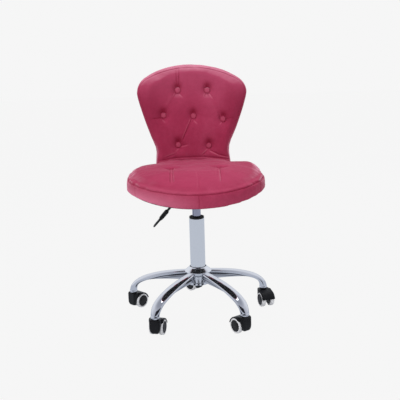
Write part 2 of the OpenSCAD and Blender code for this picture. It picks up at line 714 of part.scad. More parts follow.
module back_pad() color(velvet) difference() {
    loft(concat(
        back_rings(back_edge - soft_gap, -soft_gap),
        [back_ring(back_edge - soft_gap, 1, cover_d - soft_gap), back_ring(2, 1, cover_d - soft_gap),
            back_ring(0, 1, cover_d - 6), back_ring(0, 1, -8), back_ring(3, 1, -18),
            back_ring(10, 1, -back_pad_t + 8), back_ring(pad_front_inset, 1, -back_pad_t + 2)],
        [for (i = [2:-1:0]) back_ring(pad_front_inset, back_scales[i], -back_pad_t)]
    ), true);
    for (p = button_places) at_button(p) cylinder(r = button_r + 2, h = back_pad_t);
    at_brackets() translate([-bracket_w / 2 - 1, back_board_t - 2, back_z0 - 20])
        cube([bracket_w + 2, bracket_t + 20, 44]);
}

// Places the children on the floor of a button's pit, with +Z toward the sitter
module at_button(p) {
    seat = back_point(p[0], p[1], -back_pad_t + tuft_depth);
    translate(seat) rotate([0, 0, -asin(p[0] / back_curve_r)]) rotate([90 - back_lean, 0, 0]) children();
}

module back_buttons() color(velvet) for (p = button_places) at_button(p)
    turned([[0, 0], [button_r, 0], [button_r, 1.5], each arc([button_r - 4, 1.5], 4, 15, 60, 4),
        [button_r / 3, button_h - 0.5], [0, button_h]]);

module back_rear_cover() color(velvet) loft(concat(
    back_rings(cover_edge, cover_d),
    [back_ring(3, 1, cover_d), back_ring(3, 1, cover_d + cover_t - 2), back_ring(8, 1, cover_d + cover_t)],
    back_rings_in(cover_edge, cover_d + cover_t + 1)
));

// Places the children at each bracket, with the origin on the board's front face at its lower end
module at_brackets() for (s = [-1, 1]) {
    p = back_point(s * bracket_x, back_z0, 0);
    translate([p[0], p[1], 0]) rotate([0, 0, -s * asin(bracket_x / back_curve_r)]) children();
}

// Side outline of a bracket: a foot under the seat and a reclined arm behind the board
lean_shift = tan(back_lean);
foot_z1 = board_z - 1;
arm_z1 = back_z0 + bracket_h;
function arm_y(z, d) = (z - back_z0) * lean_shift + back_board_t + d;
bracket_side = [
    [-bracket_reach, foot_z1], [-bracket_reach, foot_z1 - bracket_t],
    [arm_y(foot_z1, bracket_t) - 4, foot_z1 - bracket_t], [arm_y(foot_z1, bracket_t), foot_z1],
    [arm_y(arm_z1, bracket_t), arm_z1], [arm_y(arm_z1, run_gap), arm_z1], [arm_y(foot_z1, run_gap), foot_z1]
];

// Shanks, heads or their holes along the screws through a bracket's arm; start is the
// distance behind the arm's face at which they begin
module bracket_back_screws(r, start, len) at_brackets() for (k = [0.35, 0.8])
    translate([0, arm_y(back_z0 + bracket_h * k, bracket_t), back_z0 + bracket_h * k])
    rotate([90 - back_lean, 0, 0]) translate([0, 0, -start]) cylinder(r = r, h = len);

module back_brackets() color("dimgray") difference() {
    at_brackets() rotate([90, 0, 90]) translate([0, 0, -bracket_w / 2]) linear_extrude(bracket_w)
        polygon(bracket_side);
    bracket_back_screws(shank_hole_r, cut, bracket_t + 3 * cut);
    bracket_back_screws(head_hole_r, cut, cut + head_sink + screw_head_h);
    foot_screw_places() translate([0, 0, foot_z1 - bracket_t - cut])
        cylinder(r = shank_hole_r, h = bracket_t + 2 * cut);
}

module bracket_screws() color(steel) {
    foot_screw_places() translate([0, 0, foot_z1 - bracket_t]) screw_up(bracket_t + screw_bite);
    bracket_back_screws(screw_r, -head_sink, bracket_t + screw_bite - head_sink);
    bracket_back_screws(screw_head_r, -head_sink, screw_head_h);
}

base_hub();
leg(1);  // leg_1
leg(2);  // leg_2
leg(3);  // leg_3
leg(4);  // leg_4
leg(5);  // leg_5
caster_sockets();
caster_stems();
column_tube();
guide_bush();
thrust_bearing();
retaining_clip();
piston_rod();
gas_cylinder();
release_pin();
seat_plate();
taper_socket();
lever_pivot();
height_lever();
lever_grip();
plate_screws();
seat_board();
seat_cushion();
seat_base_cover();
back_board();
back_pad();
back_buttons();
back_rear_cover();
back_brackets();
bracket_screws();
for (i = [1:leg_count]) {
    caster_hood(i);
    caster_axle(i);
    wheel_core(i, 1);
    wheel_core(i, -1);
    wheel_tread(i, 1);
    wheel_tread(i, -1);
}
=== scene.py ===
import math
import json
import bpy
import bmesh
from mathutils import Vector, Matrix, noise
from mathutils.kdtree import KDTree


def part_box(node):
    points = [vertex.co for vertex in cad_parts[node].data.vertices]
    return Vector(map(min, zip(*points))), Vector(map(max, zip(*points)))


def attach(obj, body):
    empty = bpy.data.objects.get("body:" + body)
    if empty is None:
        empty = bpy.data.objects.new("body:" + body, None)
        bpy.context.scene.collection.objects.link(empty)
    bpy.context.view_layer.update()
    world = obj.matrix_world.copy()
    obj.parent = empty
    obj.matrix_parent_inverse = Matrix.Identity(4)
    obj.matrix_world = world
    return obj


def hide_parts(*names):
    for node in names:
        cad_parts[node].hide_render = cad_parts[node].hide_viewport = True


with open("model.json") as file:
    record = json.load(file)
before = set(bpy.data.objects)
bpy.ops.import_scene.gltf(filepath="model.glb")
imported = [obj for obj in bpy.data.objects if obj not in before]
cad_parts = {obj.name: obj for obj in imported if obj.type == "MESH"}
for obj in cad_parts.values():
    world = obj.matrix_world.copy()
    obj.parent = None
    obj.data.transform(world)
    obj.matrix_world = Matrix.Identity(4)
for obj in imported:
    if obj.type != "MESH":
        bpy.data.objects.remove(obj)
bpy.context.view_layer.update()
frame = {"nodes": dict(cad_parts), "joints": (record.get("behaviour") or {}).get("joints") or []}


# small helpers

def boxOf(node):
    low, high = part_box(node)
    return Vector(low), Vector(high)


def newObject(name, data):
    thing = bpy.data.objects.new(name, data)
    bpy.context.scene.collection.objects.link(thing)
    return thing


def meshOnly(piece):
    # the mesh of a shape that several copies share
    mesh = piece.data
    bpy.data.objects.remove(piece)
    return mesh


def mount(piece, body, node):
    # rides on a body, and stands in for the frame's own plain node
    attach(piece, body)
    if node:
        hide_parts(node)


def paintPoints(mesh, name, values):
    mesh.attributes.new(name, "FLOAT", "POINT").data.foreach_set("value", values)


def makePiece(name, verts, faces, material, smooth=True):
    mesh = bpy.data.meshes.new(name)
    mesh.from_pydata([tuple(v) for v in verts], [], faces)
    mesh.validate()
    if material:
        mesh.materials.append(material)
    for poly in mesh.polygons:
        poly.use_smooth = smooth
    return newObject(name, mesh)


def tidyNormals(piece):
    bm = bmesh.new()
    bm.from_mesh(piece.data)
    bmesh.ops.remove_doubles(bm, verts=bm.verts, dist=1e-6)
    bmesh.ops.recalc_face_normals(bm, faces=bm.faces)
    bm.to_mesh(piece.data)
    bm.free()


def applyModifiers(piece):
    graph = bpy.context.evaluated_depsgraph_get()
    baked = bpy.data.meshes.new_from_object(piece.evaluated_get(graph))
    old = piece.data
    piece.modifiers.clear()
    piece.data = baked
    baked.name = piece.name
    bpy.data.meshes.remove(old)
    for poly in baked.polygons:
        poly.use_smooth = True


def subdivide(piece, levels):
    finer = piece.modifiers.new("finer", "SUBSURF")
    finer.levels = finer.render_levels = levels
    applyModifiers(piece)


def sharpen(piece, degrees):
    # keeps corners over the given angle crisp under smooth shading
    bm = bmesh.new()
    bm.from_mesh(piece.data)
    for edge in bm.edges:
        if len(edge.link_faces) == 2 and edge.calc_face_angle(0) > math.radians(degrees):
            edge.smooth = False
    bm.to_mesh(piece.data)
    bm.free()


def joinRings(rings, closed=True):
    # quads between rings of equal length, with a fan over each end where it is closed
    verts = [Vector(p) for ring in rings for p in ring]
    n = len(rings[0])
    faces = []
    for j in range(len(rings) - 1):
        for i in range(n):
            a = j * n + i
            b = j * n + (i + 1) % n
            faces.append((a, b, b + n, a + n))
    if closed:
        verts.append(sum((Vector(p) for p in rings[0]), Vector()) / n)
        faces += [(len(verts) - 1, (i + 1) % n, i) for i in range(n)]
        verts.append(sum((Vector(p) for p in rings[-1]), Vector()) / n)
        last = (len(rings) - 1) * n
        faces += [(len(verts) - 1, last + i, last + (i + 1) % n) for i in range(n)]
    return verts, faces


def roundCorners(profile, radius, steps=3):
    # rounds the corners of an open [radius, height] profile
    out = [profile[0]]
    for before, here, after in zip(profile, profile[1:], profile[2:]):
        p = Vector(here)
        a = Vector(before) - p
        b = Vector(after) - p
        r = min(radius, a.length * 0.45, b.length * 0.45)
        start = p + a.normalized() * r
        end = p + b.normalized() * r
        for k in range(steps + 1):
            t = k / steps
            out.append(tuple((1 - t) ** 2 * start + 2 * t * (1 - t) * p + t * t * end))
    out.append(profile[-1])
    return out


def addSupport(profile, gap=0.0005):
    # extra points near both ends of long straight runs, so that smooth shading stays flat along them
    out = []
    for a, b in zip(profile, profile[1:]):
        out.append(a)
        run = Vector(b) - Vector(a)
        if run.length > 6 * gap:
            step = run.normalized() * gap
            out += [tuple(Vector(a) + step), tuple(Vector(b) - step)]
    out.append(profile[-1])
    return out


def lathe(name, profile, material, segments=72, place=None):
    # spins a closed [radius, height] profile about Z
    profile, n = addSupport(profile), segments
    rings = [[(r * math.cos(2 * math.pi * i / n), r * math.sin(2 * math.pi * i / n), z) for i in range(n)]
             for r, z in profile]
    verts, faces = joinRings(rings, False)
    last = (len(rings) - 1) * n
    if max(profile[0][0], profile[-1][0]) > 1e-6:
        faces += [(last + i, last + (i + 1) % n, (i + 1) % n, i) for i in range(n)]
    piece = makePiece(name, verts, faces, material)
    if place:
        piece.data.transform(place)
    tidyNormals(piece)
    sharpen(piece, 40)
    return piece


def smoothStep(a, b, x):
    t = min(max((x - a) / (b - a), 0.0), 1.0)
    return t * t * (3 - 2 * t)


def mixList(stations, t):
    # smooth value between evenly spaced stations
    n = len(stations) - 1
    s = min(t * n, n - 1e-6)
    i = int(s)
    f = s - i
    a, b = stations[max(i - 1, 0)], stations[i]
    c, d = stations[i + 1], stations[min(i + 2, n)]
    return b + f * (c - a) / 2 + f * f * (2 * a - 5 * b + 4 * c - d) / 2 + f ** 3 * (3 * b - a - 3 * c + d) / 2


# shader nodes

def feed(tree, node, *values, **named):
    # links an output, or writes a plain value, into each of a node's inputs, by number or by name
    for key, value in [*enumerate(values), *named.items()]:
        socket = node.inputs[key.replace("_", " ") if isinstance(key, str) else key]
        if isinstance(value, bpy.types.NodeSocket):
            tree.links.new(value, socket)
        elif isinstance(value, tuple) and len(value) < len(socket.default_value):
            socket.default_value = (*value, 1)
        else:
            socket.default_value = value
    return node


def addNode(tree, kind, *values, **named):
    return feed(tree, tree.nodes.new("ShaderNode" + kind), *values, **named)


def addMath(tree, operation, *values):
    node = addNode(tree, "Math", *values)
    node.operation = operation
    return node.outputs[0]


def addProduct(tree, first, *others):
    for other in others:
        first = addMath(tree, "MULTIPLY", first, other)
    return first


def addRange(tree, value, fromMin, fromMax, toMin=0, toMax=1, kind="LINEAR"):
    node = addNode(tree, "MapRange", value, fromMin, fromMax, toMin, toMax)
    node.interpolation_type = kind
    return node.outputs[0]


def addSmooth(tree, value, *ends):
    return addRange(tree, value, *ends, kind="SMOOTHSTEP")


def addNoise(tree, vector, scale, detail=3, roughness=0.5):
    return addNode(tree, "TexNoise", Vector=vector, Scale=scale, Detail=detail, Roughness=roughness).outputs["Fac"]


def addAttribute(tree, name):
    node = tree.nodes.new("ShaderNodeAttribute")
    node.attribute_name = name
    return node.outputs["Fac"]


def addRamp(tree, share, stops):
    node = addNode(tree, "ValToRGB", share)
    ramp = node.color_ramp
    while len(ramp.elements) < len(stops):
        ramp.elements.new(0.5)
    for element, (at, colour) in zip(ramp.elements, stops):
        element.position = at
        element.color = (*colour, 1)
    return node.outputs[0]


def addMix(tree, share, a, b, blend="MIX"):
    node = tree.nodes.new("ShaderNodeMix")
    node.data_type = "RGBA"
    node.blend_type = blend
    for slot, value in ((0, share), (6, a), (7, b)):
        if isinstance(value, bpy.types.NodeSocket):
            tree.links.new(value, node.inputs[slot])
        else:
            node.inputs[slot].default_value = (*value, 1) if isinstance(value, tuple) else value
    return node.outputs[2]


def addBump(tree, shader, height, strength, distance):
    bump = addNode(tree, "Bump", Strength=strength, Distance=distance, Height=height)
    feed(tree, shader, Normal=bump.outputs[0])


def stretched(tree, vector, scale, turn=(0, 0, 0)):
    return addNode(tree, "Mapping", Vector=vector, Scale=scale, Rotation=turn).outputs[0]


def placeVector(tree):
    return tree.nodes.new("ShaderNodeTexCoord").outputs["Object"]


def newMaterial(name, **sockets):
    # a Principled material with plain values set on its own sockets
    material = bpy.data.materials.new(name)
    material.use_nodes = True
    shader = material.node_tree.nodes["Principled BSDF"]
    feed(material.node_tree, shader, **sockets)
    return material, material.node_tree, shader


def newGroup(name, inputs, outputs):
    group = bpy.data.node_groups.new(name, "ShaderNodeTree")
    for label, value in inputs:
        group.interface.new_socket(label, in_out="INPUT", socket_type="NodeSocketFloat").default_value = value
    for label in outputs:
        group.interface.new_socket(label, in_out="OUTPUT", socket_type="NodeSocketFloat")
    return group, group.nodes.new("NodeGroupInput"), group.nodes.new("NodeGroupOutput")


def useGroup(tree, group, **values):
    node = tree.nodes.new("ShaderNodeGroup")
    node.node_tree = group
    return feed(tree, node, **values)


# camera, lights and floor

cameraSettings = {
    "place": (-0.04205, -2.2406, 0.853),
    "turn": 1.4,
    "pitch": 11.59,
    "roll": -1.57,
    "lens": 62.43,
}


def makeCamera(s):
    turn, pitch, roll = (math.radians(s[k]) for k in ("turn", "pitch", "roll"))
    ahead = Vector((math.sin(turn) * math.cos(pitch), math.cos(turn) * math.cos(pitch), -math.sin(pitch)))
    right = Vector((math.cos(turn), -math.sin(turn), 0))
    up = right.cross(ahead)
    right, up = math.cos(roll) * right + math.sin(roll) * up, math.cos(roll) * up - math.sin(roll) * right
    data = bpy.data.cameras.new("viewCamera")
    data.lens = s["lens"]
    data.sensor_width = 36
    data.clip_end = 60
    camera = newObject("viewCamera", data)
    place = Matrix((right, up, -ahead)).transposed().to_4x4()
    place.translation = Vector(s["place"])
    camera.matrix_world = place
    bpy.context.scene.camera = camera


studioSettings = {
    "worldGrey": 0.62,
    "paleGrey": 0.921,
    "mirrorFloor": (0.50, 0.54, 0.62),   # the floor as polished metal sees it
    "mirrorRear": (0.80, 0.83, 0.89),    # the sky behind the chair, before it and over it, as metal sees it
    "mirrorFront": (0.44, 0.46, 0.53),
    "mirrorAbove": (0.34, 0.36, 0.42),
    "rearFrom": (-0.75, 0.35),           # where one sky tone turns into the next
    "aboveFrom": (0.62, 0.88),
    "floorGrey": 0.86,
    "floorHalf": 14,
    "floorZ": -0.0005,
    "floorShare": 0.985,
    "wallLow": 0.05,
    "wallHigh": 2.75,
    "wallHalf": 2.6,
    "wallY": -3.4,
    "stands": [(-0.62, 0.10), (-0.30, 0.05), (0.34, 0.06), (0.70, 0.12)],   # middle and width
    "standY": -2.7,
    "strips": [(-0.31, 0.12), (0.0, 0.13), (0.31, 0.12)],   # middle and width
    "stripY": (-0.42, -0.20),
    "stripZ": 0.0004,
    "aim": (0, 0, 0.45),
    "lamps": [
        # name, place, size, power, colour
        ("keySoftbox", (-1.7, -1.8, 2.4), 1.6, 34, (1.0, 0.985, 0.98)),
        ("fillSoftbox", (2.1, -1.7, 1.7), 1.8, 7, (0.96, 0.98, 1.0)),
        ("topSoftbox", (0.1, 0.3, 2.9), 1.8, 18, (1, 1, 1)),
        ("rimSoftbox", (1.2, 2.0, 1.9), 1.4, 12, (1, 1, 1)),
    ],
}


def seenRays(tree):
    # which rays come straight from the camera, and which come from it, a mirror or a clear piece
    path = tree.nodes.new("ShaderNodeLightPath")
    straight = path.outputs["Is Camera Ray"]
    mirrored = addMath(tree, "MAXIMUM", straight, path.outputs["Is Glossy Ray"])
    return straight, addMath(tree, "MAXIMUM", mirrored, path.outputs["Is Transmission Ray"])


def mixOut(tree, kind, share, first, second):
    mix = addNode(tree, "MixShader", share, first.outputs[0], second.outputs[0])
    addNode(tree, "Output" + kind, mix.outputs[0])


def makeWorld(s):
    world = bpy.data.worlds.new("studioWorld")
    bpy.context.scene.world = world
    world.use_nodes = True
    tree = world.node_tree
    tree.nodes.clear()
    straight, seen = seenRays(tree)
    way = addNode(tree, "SeparateXYZ", tree.nodes.new("ShaderNodeTexCoord").outputs["Generated"]).outputs
    sky = addMix(tree, addRange(tree, way["Y"], *s["rearFrom"]), s["mirrorFront"], s["mirrorRear"])
    sky = addMix(tree, addRange(tree, way["Z"], *s["aboveFrom"]), sky, s["mirrorAbove"])
    ambient = addNode(tree, "Background", (s["worldGrey"],) * 3)
    pale = addNode(tree, "Background", addMix(tree, straight, sky, (s["paleGrey"],) * 3))
    mixOut(tree, "World", seen, ambient, pale)


def makeLamps(s):
    for name, place, size, power, colour in s["lamps"]:
        data = bpy.data.lights.new(name, "AREA")
        data.shape = "DISK"
        data.size = size
        data.energy = power
        data.color = colour
        lamp = newObject(name, data)
        lamp.location = place
        lamp.rotation_euler = (Vector(s["aim"]) - Vector(place)).to_track_quat("-Z", "Y").to_euler()
        lamp.visible_glossy = name == "topSoftbox"


def makeFloor(s):
    # seen at the background's own tone, darkened only where the chair keeps light off it
    material = bpy.data.materials.new("paleFloor")
    material.use_nodes = True
    tree = material.node_tree
    tree.nodes.clear()
    straight, seen = seenRays(tree)
    tone = addMix(tree, straight, s["mirrorFloor"], (s["paleGrey"],) * 3)
    mixOut(tree, "Material", addMath(tree, "MULTIPLY", seen, s["floorShare"]),
           addNode(tree, "BsdfDiffuse", (s["floorGrey"],) * 3), addNode(tree, "Emission", tone))
    far, z = s["floorHalf"], s["floorZ"]
    corners = [(-far, -far, z), (far, -far, z), (far, far, z), (-far, far, z)]
    makePiece("studioFloor", corners, [(0, 1, 2, 3)], material, smooth=False)


def makeDarkWall(s):
    # the unlit room round the lamps, with lamp stands and dark strips on the floor, seen only in reflections:
    # polished metal mirrors them as dark bands
    material = newMaterial("unlitRoom", Base_Color=(0.02, 0.02, 0.028), Roughness=1)[0]
    (near, far), lie, stand = s["stripY"], s["stripZ"], s["standY"]
    panels = [("darkWall", 0, s["wallHalf"], s["wallY"], s["wallY"], s["wallLow"], s["wallHigh"])]
    panels += [(f"lampStand{n}", x, w / 2, stand, stand, 0, s["wallHigh"]) for n, (x, w) in enumerate(s["stands"])]
    panels += [(f"floorStrip{n}", x, w / 2, near, far, lie, lie) for n, (x, w) in enumerate(s["strips"])]
    for name, x, half, y0, y1, z0, z1 in panels:
        corners = [(x - half, y0, z0), (x + half, y0, z0), (x + half, y1, z1), (x - half, y1, z1)]
        panel = makePiece(name, corners, [(0, 1, 2, 3)], material, smooth=False)
        panel.visible_camera = panel.visible_diffuse = panel.visible_shadow = False


makeCamera(cameraSettings)
makeDarkWall(studioSettings)
makeWorld(studioSettings)
makeLamps(studioSettings)
makeFloor(studioSettings)
bpy.context.scene.view_settings.view_transform = "Standard"
print("studio ready")


# shader groups

def makeNapGroup():
    # velvet pile: broad strokes where the nap lies over, mottling between them, and the fine tips
    group, start, end = newGroup("velvetNap", [("Stroke Scale", 7), ("Pile Scale", 1500)],
                                 ["Stroke", "Mottle", "Pile"])
    here = placeVector(group)
    broad = addNoise(group, stretched(group, here, (1.0, 1.0, 0.55), (0, 0.35, 0.2)), start.outputs[0], 4, 0.62)
    streak = addNoise(group, stretched(group, here, (3.2, 3.2, 0.9), (0.1, -0.3, 0.1)), start.outputs[0], 5, 0.6)
    feed(group, end, addMath(group, "MULTIPLY_ADD", streak, 0.4, addMath(group, "MULTIPLY", broad, 0.6)),
         addNoise(group, here, 95, 4, 0.65), addNoise(group, here, start.outputs[1], 2, 0.6))
    return group


def makeGrainGroup():
    # moulded or sprayed surface: a fine height, and a slow change of gloss from handling
    group, start, end = newGroup("fineGrain", [("Grain Scale", 900), ("Handling Scale", 14)], ["Height", "Handling"])
    here = placeVector(group)
    cells = addNode(group, "TexVoronoi", Vector=here, Scale=start.outputs[0]).outputs["Distance"]
    rough = addMath(group, "MULTIPLY", addNoise(group, here, start.outputs[0], 2), 0.4)
    feed(group, end, addMath(group, "MULTIPLY_ADD", cells, 0.6, rough),
         addNoise(group, here, start.outputs[1], 4, 0.6))
    return group


def makeDustGroup():
    # dust and scuffs that gather low down
    group, start, end = newGroup("lowDust", [("Reach", 0.05), ("Amount", 0.3)], ["Dust"])
    geometry = group.nodes.new("ShaderNodeNewGeometry")
    height = addNode(group, "SeparateXYZ", geometry.outputs["Position"]).outputs["Z"]
    lowness = addMath(group, "SUBTRACT", 1, addMath(group, "DIVIDE", height, start.outputs[0]))
    feed(group, end, addProduct(group, addMath(group, "MAXIMUM", lowness, 0),
                                addNoise(group, placeVector(group), 60, 5, 0.65), start.outputs[1]))
    return group


napGroup = makeNapGroup()
grainGroup = makeGrainGroup()
dustGroup = makeDustGroup()


# materials

velvetSettings = {
    "deep": (0.250, 0.012, 0.045),
    "body": (0.346, 0.028, 0.079),
    "lit": (0.450, 0.062, 0.135),
    "sheenTint": (1.0, 0.62, 0.73),
    "foldShade": (0.215, 0.005, 0.028),
    "foldLight": (0.66, 0.17, 0.26),
    # tones, each followed by where it fades in: from, to, and how strong it is at both ends
    "topOfBackLight": (0.50, 0.105, 0.195),        # painted light toward the top of the back
    "topOfBackLightZ": (0.62, 0.84, 0, 0.34),
    "bandLeftLight": (0.66, 0.18, 0.29),       # painted light on the left of the seat's upright band, from the lamp on that side
    "bandZ": (0.475, 0.43),
    "bandX": (0.02, -0.19, 0.06, 1.0),
    "sideShadeTone": (0.21, 0.007, 0.034),     # painted shade along both sides of the back
    "sideX": (0.080, 0.150, 0, 0.50),
    "sideTopZ": (0.79, 0.69),
    "sideFootZ": (0.56, 0.66),
    "topLightTone": (0.46, 0.050, 0.128),         # painted light on the level top of the seat
    "topLightUp": (0.80, 0.985, 0, 0.42),
    "sheenRimTone": (0.84, 0.40, 0.53),        # painted sheen where the pile is seen edge on
    "rimEdge": (0.42, 1.0),
    "rimUp": (0.0, 0.55, 0.35, 0.85),
    "rimNotLevel": (0.93, 0.80),
    "rimZ": (0.455, 0.490, 0.30, 1),
    "rollUp": (0.36, 0.95, 0, 0.44),      # and a painted highlight where the crest rolls back
    "rollZ": (0.69, 0.76),
}


def makeVelvet(s):
    material, tree, shader = newMaterial("pinkVelvet", Roughness=0.82, Specular_IOR_Level=0.18,
                                         Sheen_Weight=0.42, Sheen_Roughness=0.20, Sheen_Tint=s["sheenTint"])
    nap = useGroup(tree, napGroup, Stroke_Scale=4.5, Pile_Scale=1500).outputs
    tone = addMath(tree, "MULTIPLY_ADD", nap["Mottle"], 0.22, addMath(tree, "MULTIPLY", nap["Stroke"], 0.78))
    colour = addRamp(tree, tone, [(0.25, s["deep"]), (0.5, s["body"]), (0.78, s["lit"])])
    geometry = tree.nodes.new("ShaderNodeNewGeometry")
    at = addNode(tree, "SeparateXYZ", geometry.outputs["Position"]).outputs
    facingUp = addNode(tree, "SeparateXYZ", geometry.outputs["Normal"]).outputs["Z"]
    # painted light: paler toward the top of the back and on the left of the seat's band; painted shade: deeper along
    # both sides of the back
    colour = addMix(tree, addSmooth(tree, at["Z"], *s["topOfBackLightZ"]), colour, s["topOfBackLight"])
    band = addProduct(tree, addRange(tree, at["Z"], *s["bandZ"]), addRange(tree, at["X"], *s["bandX"]))
    colour = addMix(tree, band, colour, s["bandLeftLight"])
    beside = addSmooth(tree, addMath(tree, "ABSOLUTE", at["X"]), *s["sideX"])
    sideShadeShare = addProduct(tree, beside, addSmooth(tree, at["Z"], *s["sideTopZ"]),
                        addSmooth(tree, at["Z"], *s["sideFootZ"]))
    colour = addMix(tree, sideShadeShare, colour, s["sideShadeTone"])
    # painted light: the level top of the seat is painted lighter, as the lamps above light it more strongly
    colour = addMix(tree, addSmooth(tree, facingUp, *s["topLightUp"]), colour, s["topLightTone"])
    # painted sheen: pale where the pile is seen edge on round the crest and the sides, and a painted highlight where
    # the crest rolls back
    edgeOn = addSmooth(tree, addNode(tree, "LayerWeight", 0.5).outputs["Facing"], *s["rimEdge"])
    rim = addProduct(tree, edgeOn, addRange(tree, facingUp, *s["rimUp"]),
                     addRange(tree, facingUp, *s["rimNotLevel"]), addRange(tree, at["Z"], *s["rimZ"]))
    roll = addProduct(tree, addRange(tree, facingUp, *s["rollUp"]), addRange(tree, at["Z"], *s["rollZ"]))
    colour = addMix(tree, addMath(tree, "MAXIMUM", rim, roll), colour, s["sheenRimTone"])
    # painted shade in the folds where the painted value is above nothing, and a painted highlight on raised lips
    # where it is below
    fold = addAttribute(tree, "fold")
    pressed = addMath(tree, "MINIMUM", addMath(tree, "MAXIMUM", fold, 0), 1)
    raised = addMath(tree, "MAXIMUM", addMath(tree, "MULTIPLY", fold, -1), 0)
    colour = addMix(tree, raised, addMix(tree, pressed, colour, s["foldShade"]), s["foldLight"])
    tips = addMath(tree, "MULTIPLY_ADD", nap["Pile"], 0.3, 0.85)
    feed(tree, shader, Base_Color=addMix(tree, 1.0, colour, tips, "MULTIPLY"),
         Roughness=addMath(tree, "MULTIPLY_ADD", nap["Mottle"], 0.25, 0.68))
    addBump(tree, shader, addMath(tree, "MULTIPLY_ADD", nap["Pile"], 0.35, nap["Mottle"]), 0.35, 0.0012)
    return material


chromeDust = (0.45, 0.43, 0.40)
lineReflectionDark = (0.05, 0.05, 0.065)     # painted dark reflection deep in the pressed line
edgeReflectionGrey = (0.24, 0.24, 0.29)


def makeChrome(name, tint, low, high, lineName=None):
    material, tree, shader = newMaterial(name, Metallic=1.0, Base_Color=tint)
    handling = useGroup(tree, grainGroup, Grain_Scale=260, Handling_Scale=11).outputs["Handling"]
    dust = useGroup(tree, dustGroup, Reach=0.16, Amount=0.04)
    colour = addMix(tree, dust.outputs["Dust"], tint, chromeDust)
    if lineName:
        # painted dark reflection along the legs' pressed lines and painted grey over their webs, from the painted
        # values
        colour = addMix(tree, addAttribute(tree, lineName), colour, lineReflectionDark)
        # painted darker reflection toward the edges that are seen edge on
        rim = addMath(tree, "POWER", addNode(tree, "LayerWeight", 0.30).outputs["Facing"], 2.5)
        colour = addMix(tree, addMath(tree, "MULTIPLY", rim, 0.75), colour, edgeReflectionGrey)
    feed(tree, shader, Base_Color=colour, Roughness=addRange(tree, handling, 0.35, 0.7, low, high))
    addBump(tree, shader, handling, 0.02, 0.0004)
    return material


def makeMoulded(name, colour, grain, gloss, strength, dusty):
    material, tree, shader = newMaterial(name, Specular_IOR_Level=0.30)
    look = useGroup(tree, grainGroup, Grain_Scale=grain, Handling_Scale=22).outputs
    paler = tuple(min(c * 1.5 + 0.003, 1) for c in colour)
    toned = addRamp(tree, look["Handling"], [(0.35, colour), (0.75, paler)])
    dust = useGroup(tree, dustGroup, Reach=0.06, Amount=dusty)
    feed(tree, shader, Base_Color=addMix(tree, dust.outputs["Dust"], toned, (0.34, 0.32, 0.30)),
         Roughness=addMath(tree, "MULTIPLY_ADD", look["Handling"], 0.28, gloss - 0.12))
    addBump(tree, shader, look["Height"], strength, 0.0003)
    return material


def makeTreadMaterial():
    # pale soft ring that picks up scuffs as it rolls
    material, tree, shader = newMaterial("paleTread", Specular_IOR_Level=0.35)
    look = useGroup(tree, grainGroup, Grain_Scale=700, Handling_Scale=40).outputs
    worn = addRamp(tree, look["Handling"], [(0.3, (0.68, 0.69, 0.73)), (0.6, (0.80, 0.81, 0.84))])
    dust = useGroup(tree, dustGroup, Reach=0.05, Amount=0.1)
    feed(tree, shader, Base_Color=addMix(tree, dust.outputs["Dust"], worn, (0.30, 0.29, 0.28)),
         Roughness=addMath(tree, "MULTIPLY_ADD", look["Handling"], 0.3, 0.38))
    addBump(tree, shader, look["Height"], 0.15, 0.0003)
    return material


def makeBrushedSteel():
    material, tree, shader = newMaterial("brightSteel", Metallic=1.0, Anisotropic=0.4)
    lines = addNoise(tree, stretched(tree, placeVector(tree), (1, 1, 60)), 90, 3)
    feed(tree, shader, Base_Color=addRamp(tree, lines, [(0.3, (0.50, 0.50, 0.52)), (0.7, (0.70, 0.70, 0.72))]),
         Roughness=addMath(tree, "MULTIPLY_ADD", lines, 0.25, 0.18))
    addBump(tree, shader, lines, 0.1, 0.0002)
    return material


def makePlywood():
    # thin plies seen at the board's edge
    material, tree, shader = newMaterial("plywood", Roughness=0.7)
    here = placeVector(tree)
    plies = addNode(tree, "TexWave", Vector=here, Scale=110, Distortion=0.4)
    plies.bands_direction = "Z"
    fibres = addNoise(tree, stretched(tree, here, (2, 60, 60)), 12, 5)
    tone = addMath(tree, "MULTIPLY_ADD", fibres, 0.6, addMath(tree, "MULTIPLY", plies.outputs["Fac"], 0.4))
    feed(tree, shader, Base_Color=addRamp(tree, tone, [(0.3, (0.33, 0.20, 0.10)), (0.65, (0.62, 0.45, 0.27))]))
    addBump(tree, shader, tone, 0.2, 0.0004)
    return material


def makeBondedCloth():
    # bonded fibre cloth stapled under the seat
    material, tree, shader = newMaterial("bondedCloth", Roughness=0.9, Sheen_Weight=0.15, Specular_IOR_Level=0.2)
    here = placeVector(tree)
    fibres = addNoise(tree, stretched(tree, here, (1.4, 0.5, 1)), 900, 4, 0.7)
    dimples = addNode(tree, "TexVoronoi", Vector=here, Scale=420).outputs["Distance"]
    feed(tree, shader,
         Base_Color=addRamp(tree, fibres, [(0.35, (0.012, 0.012, 0.013)), (0.7, (0.045, 0.045, 0.048))]))
    addBump(tree, shader, addMath(tree, "MULTIPLY_ADD", dimples, 0.6, fibres), 0.4, 0.0005)
    return material


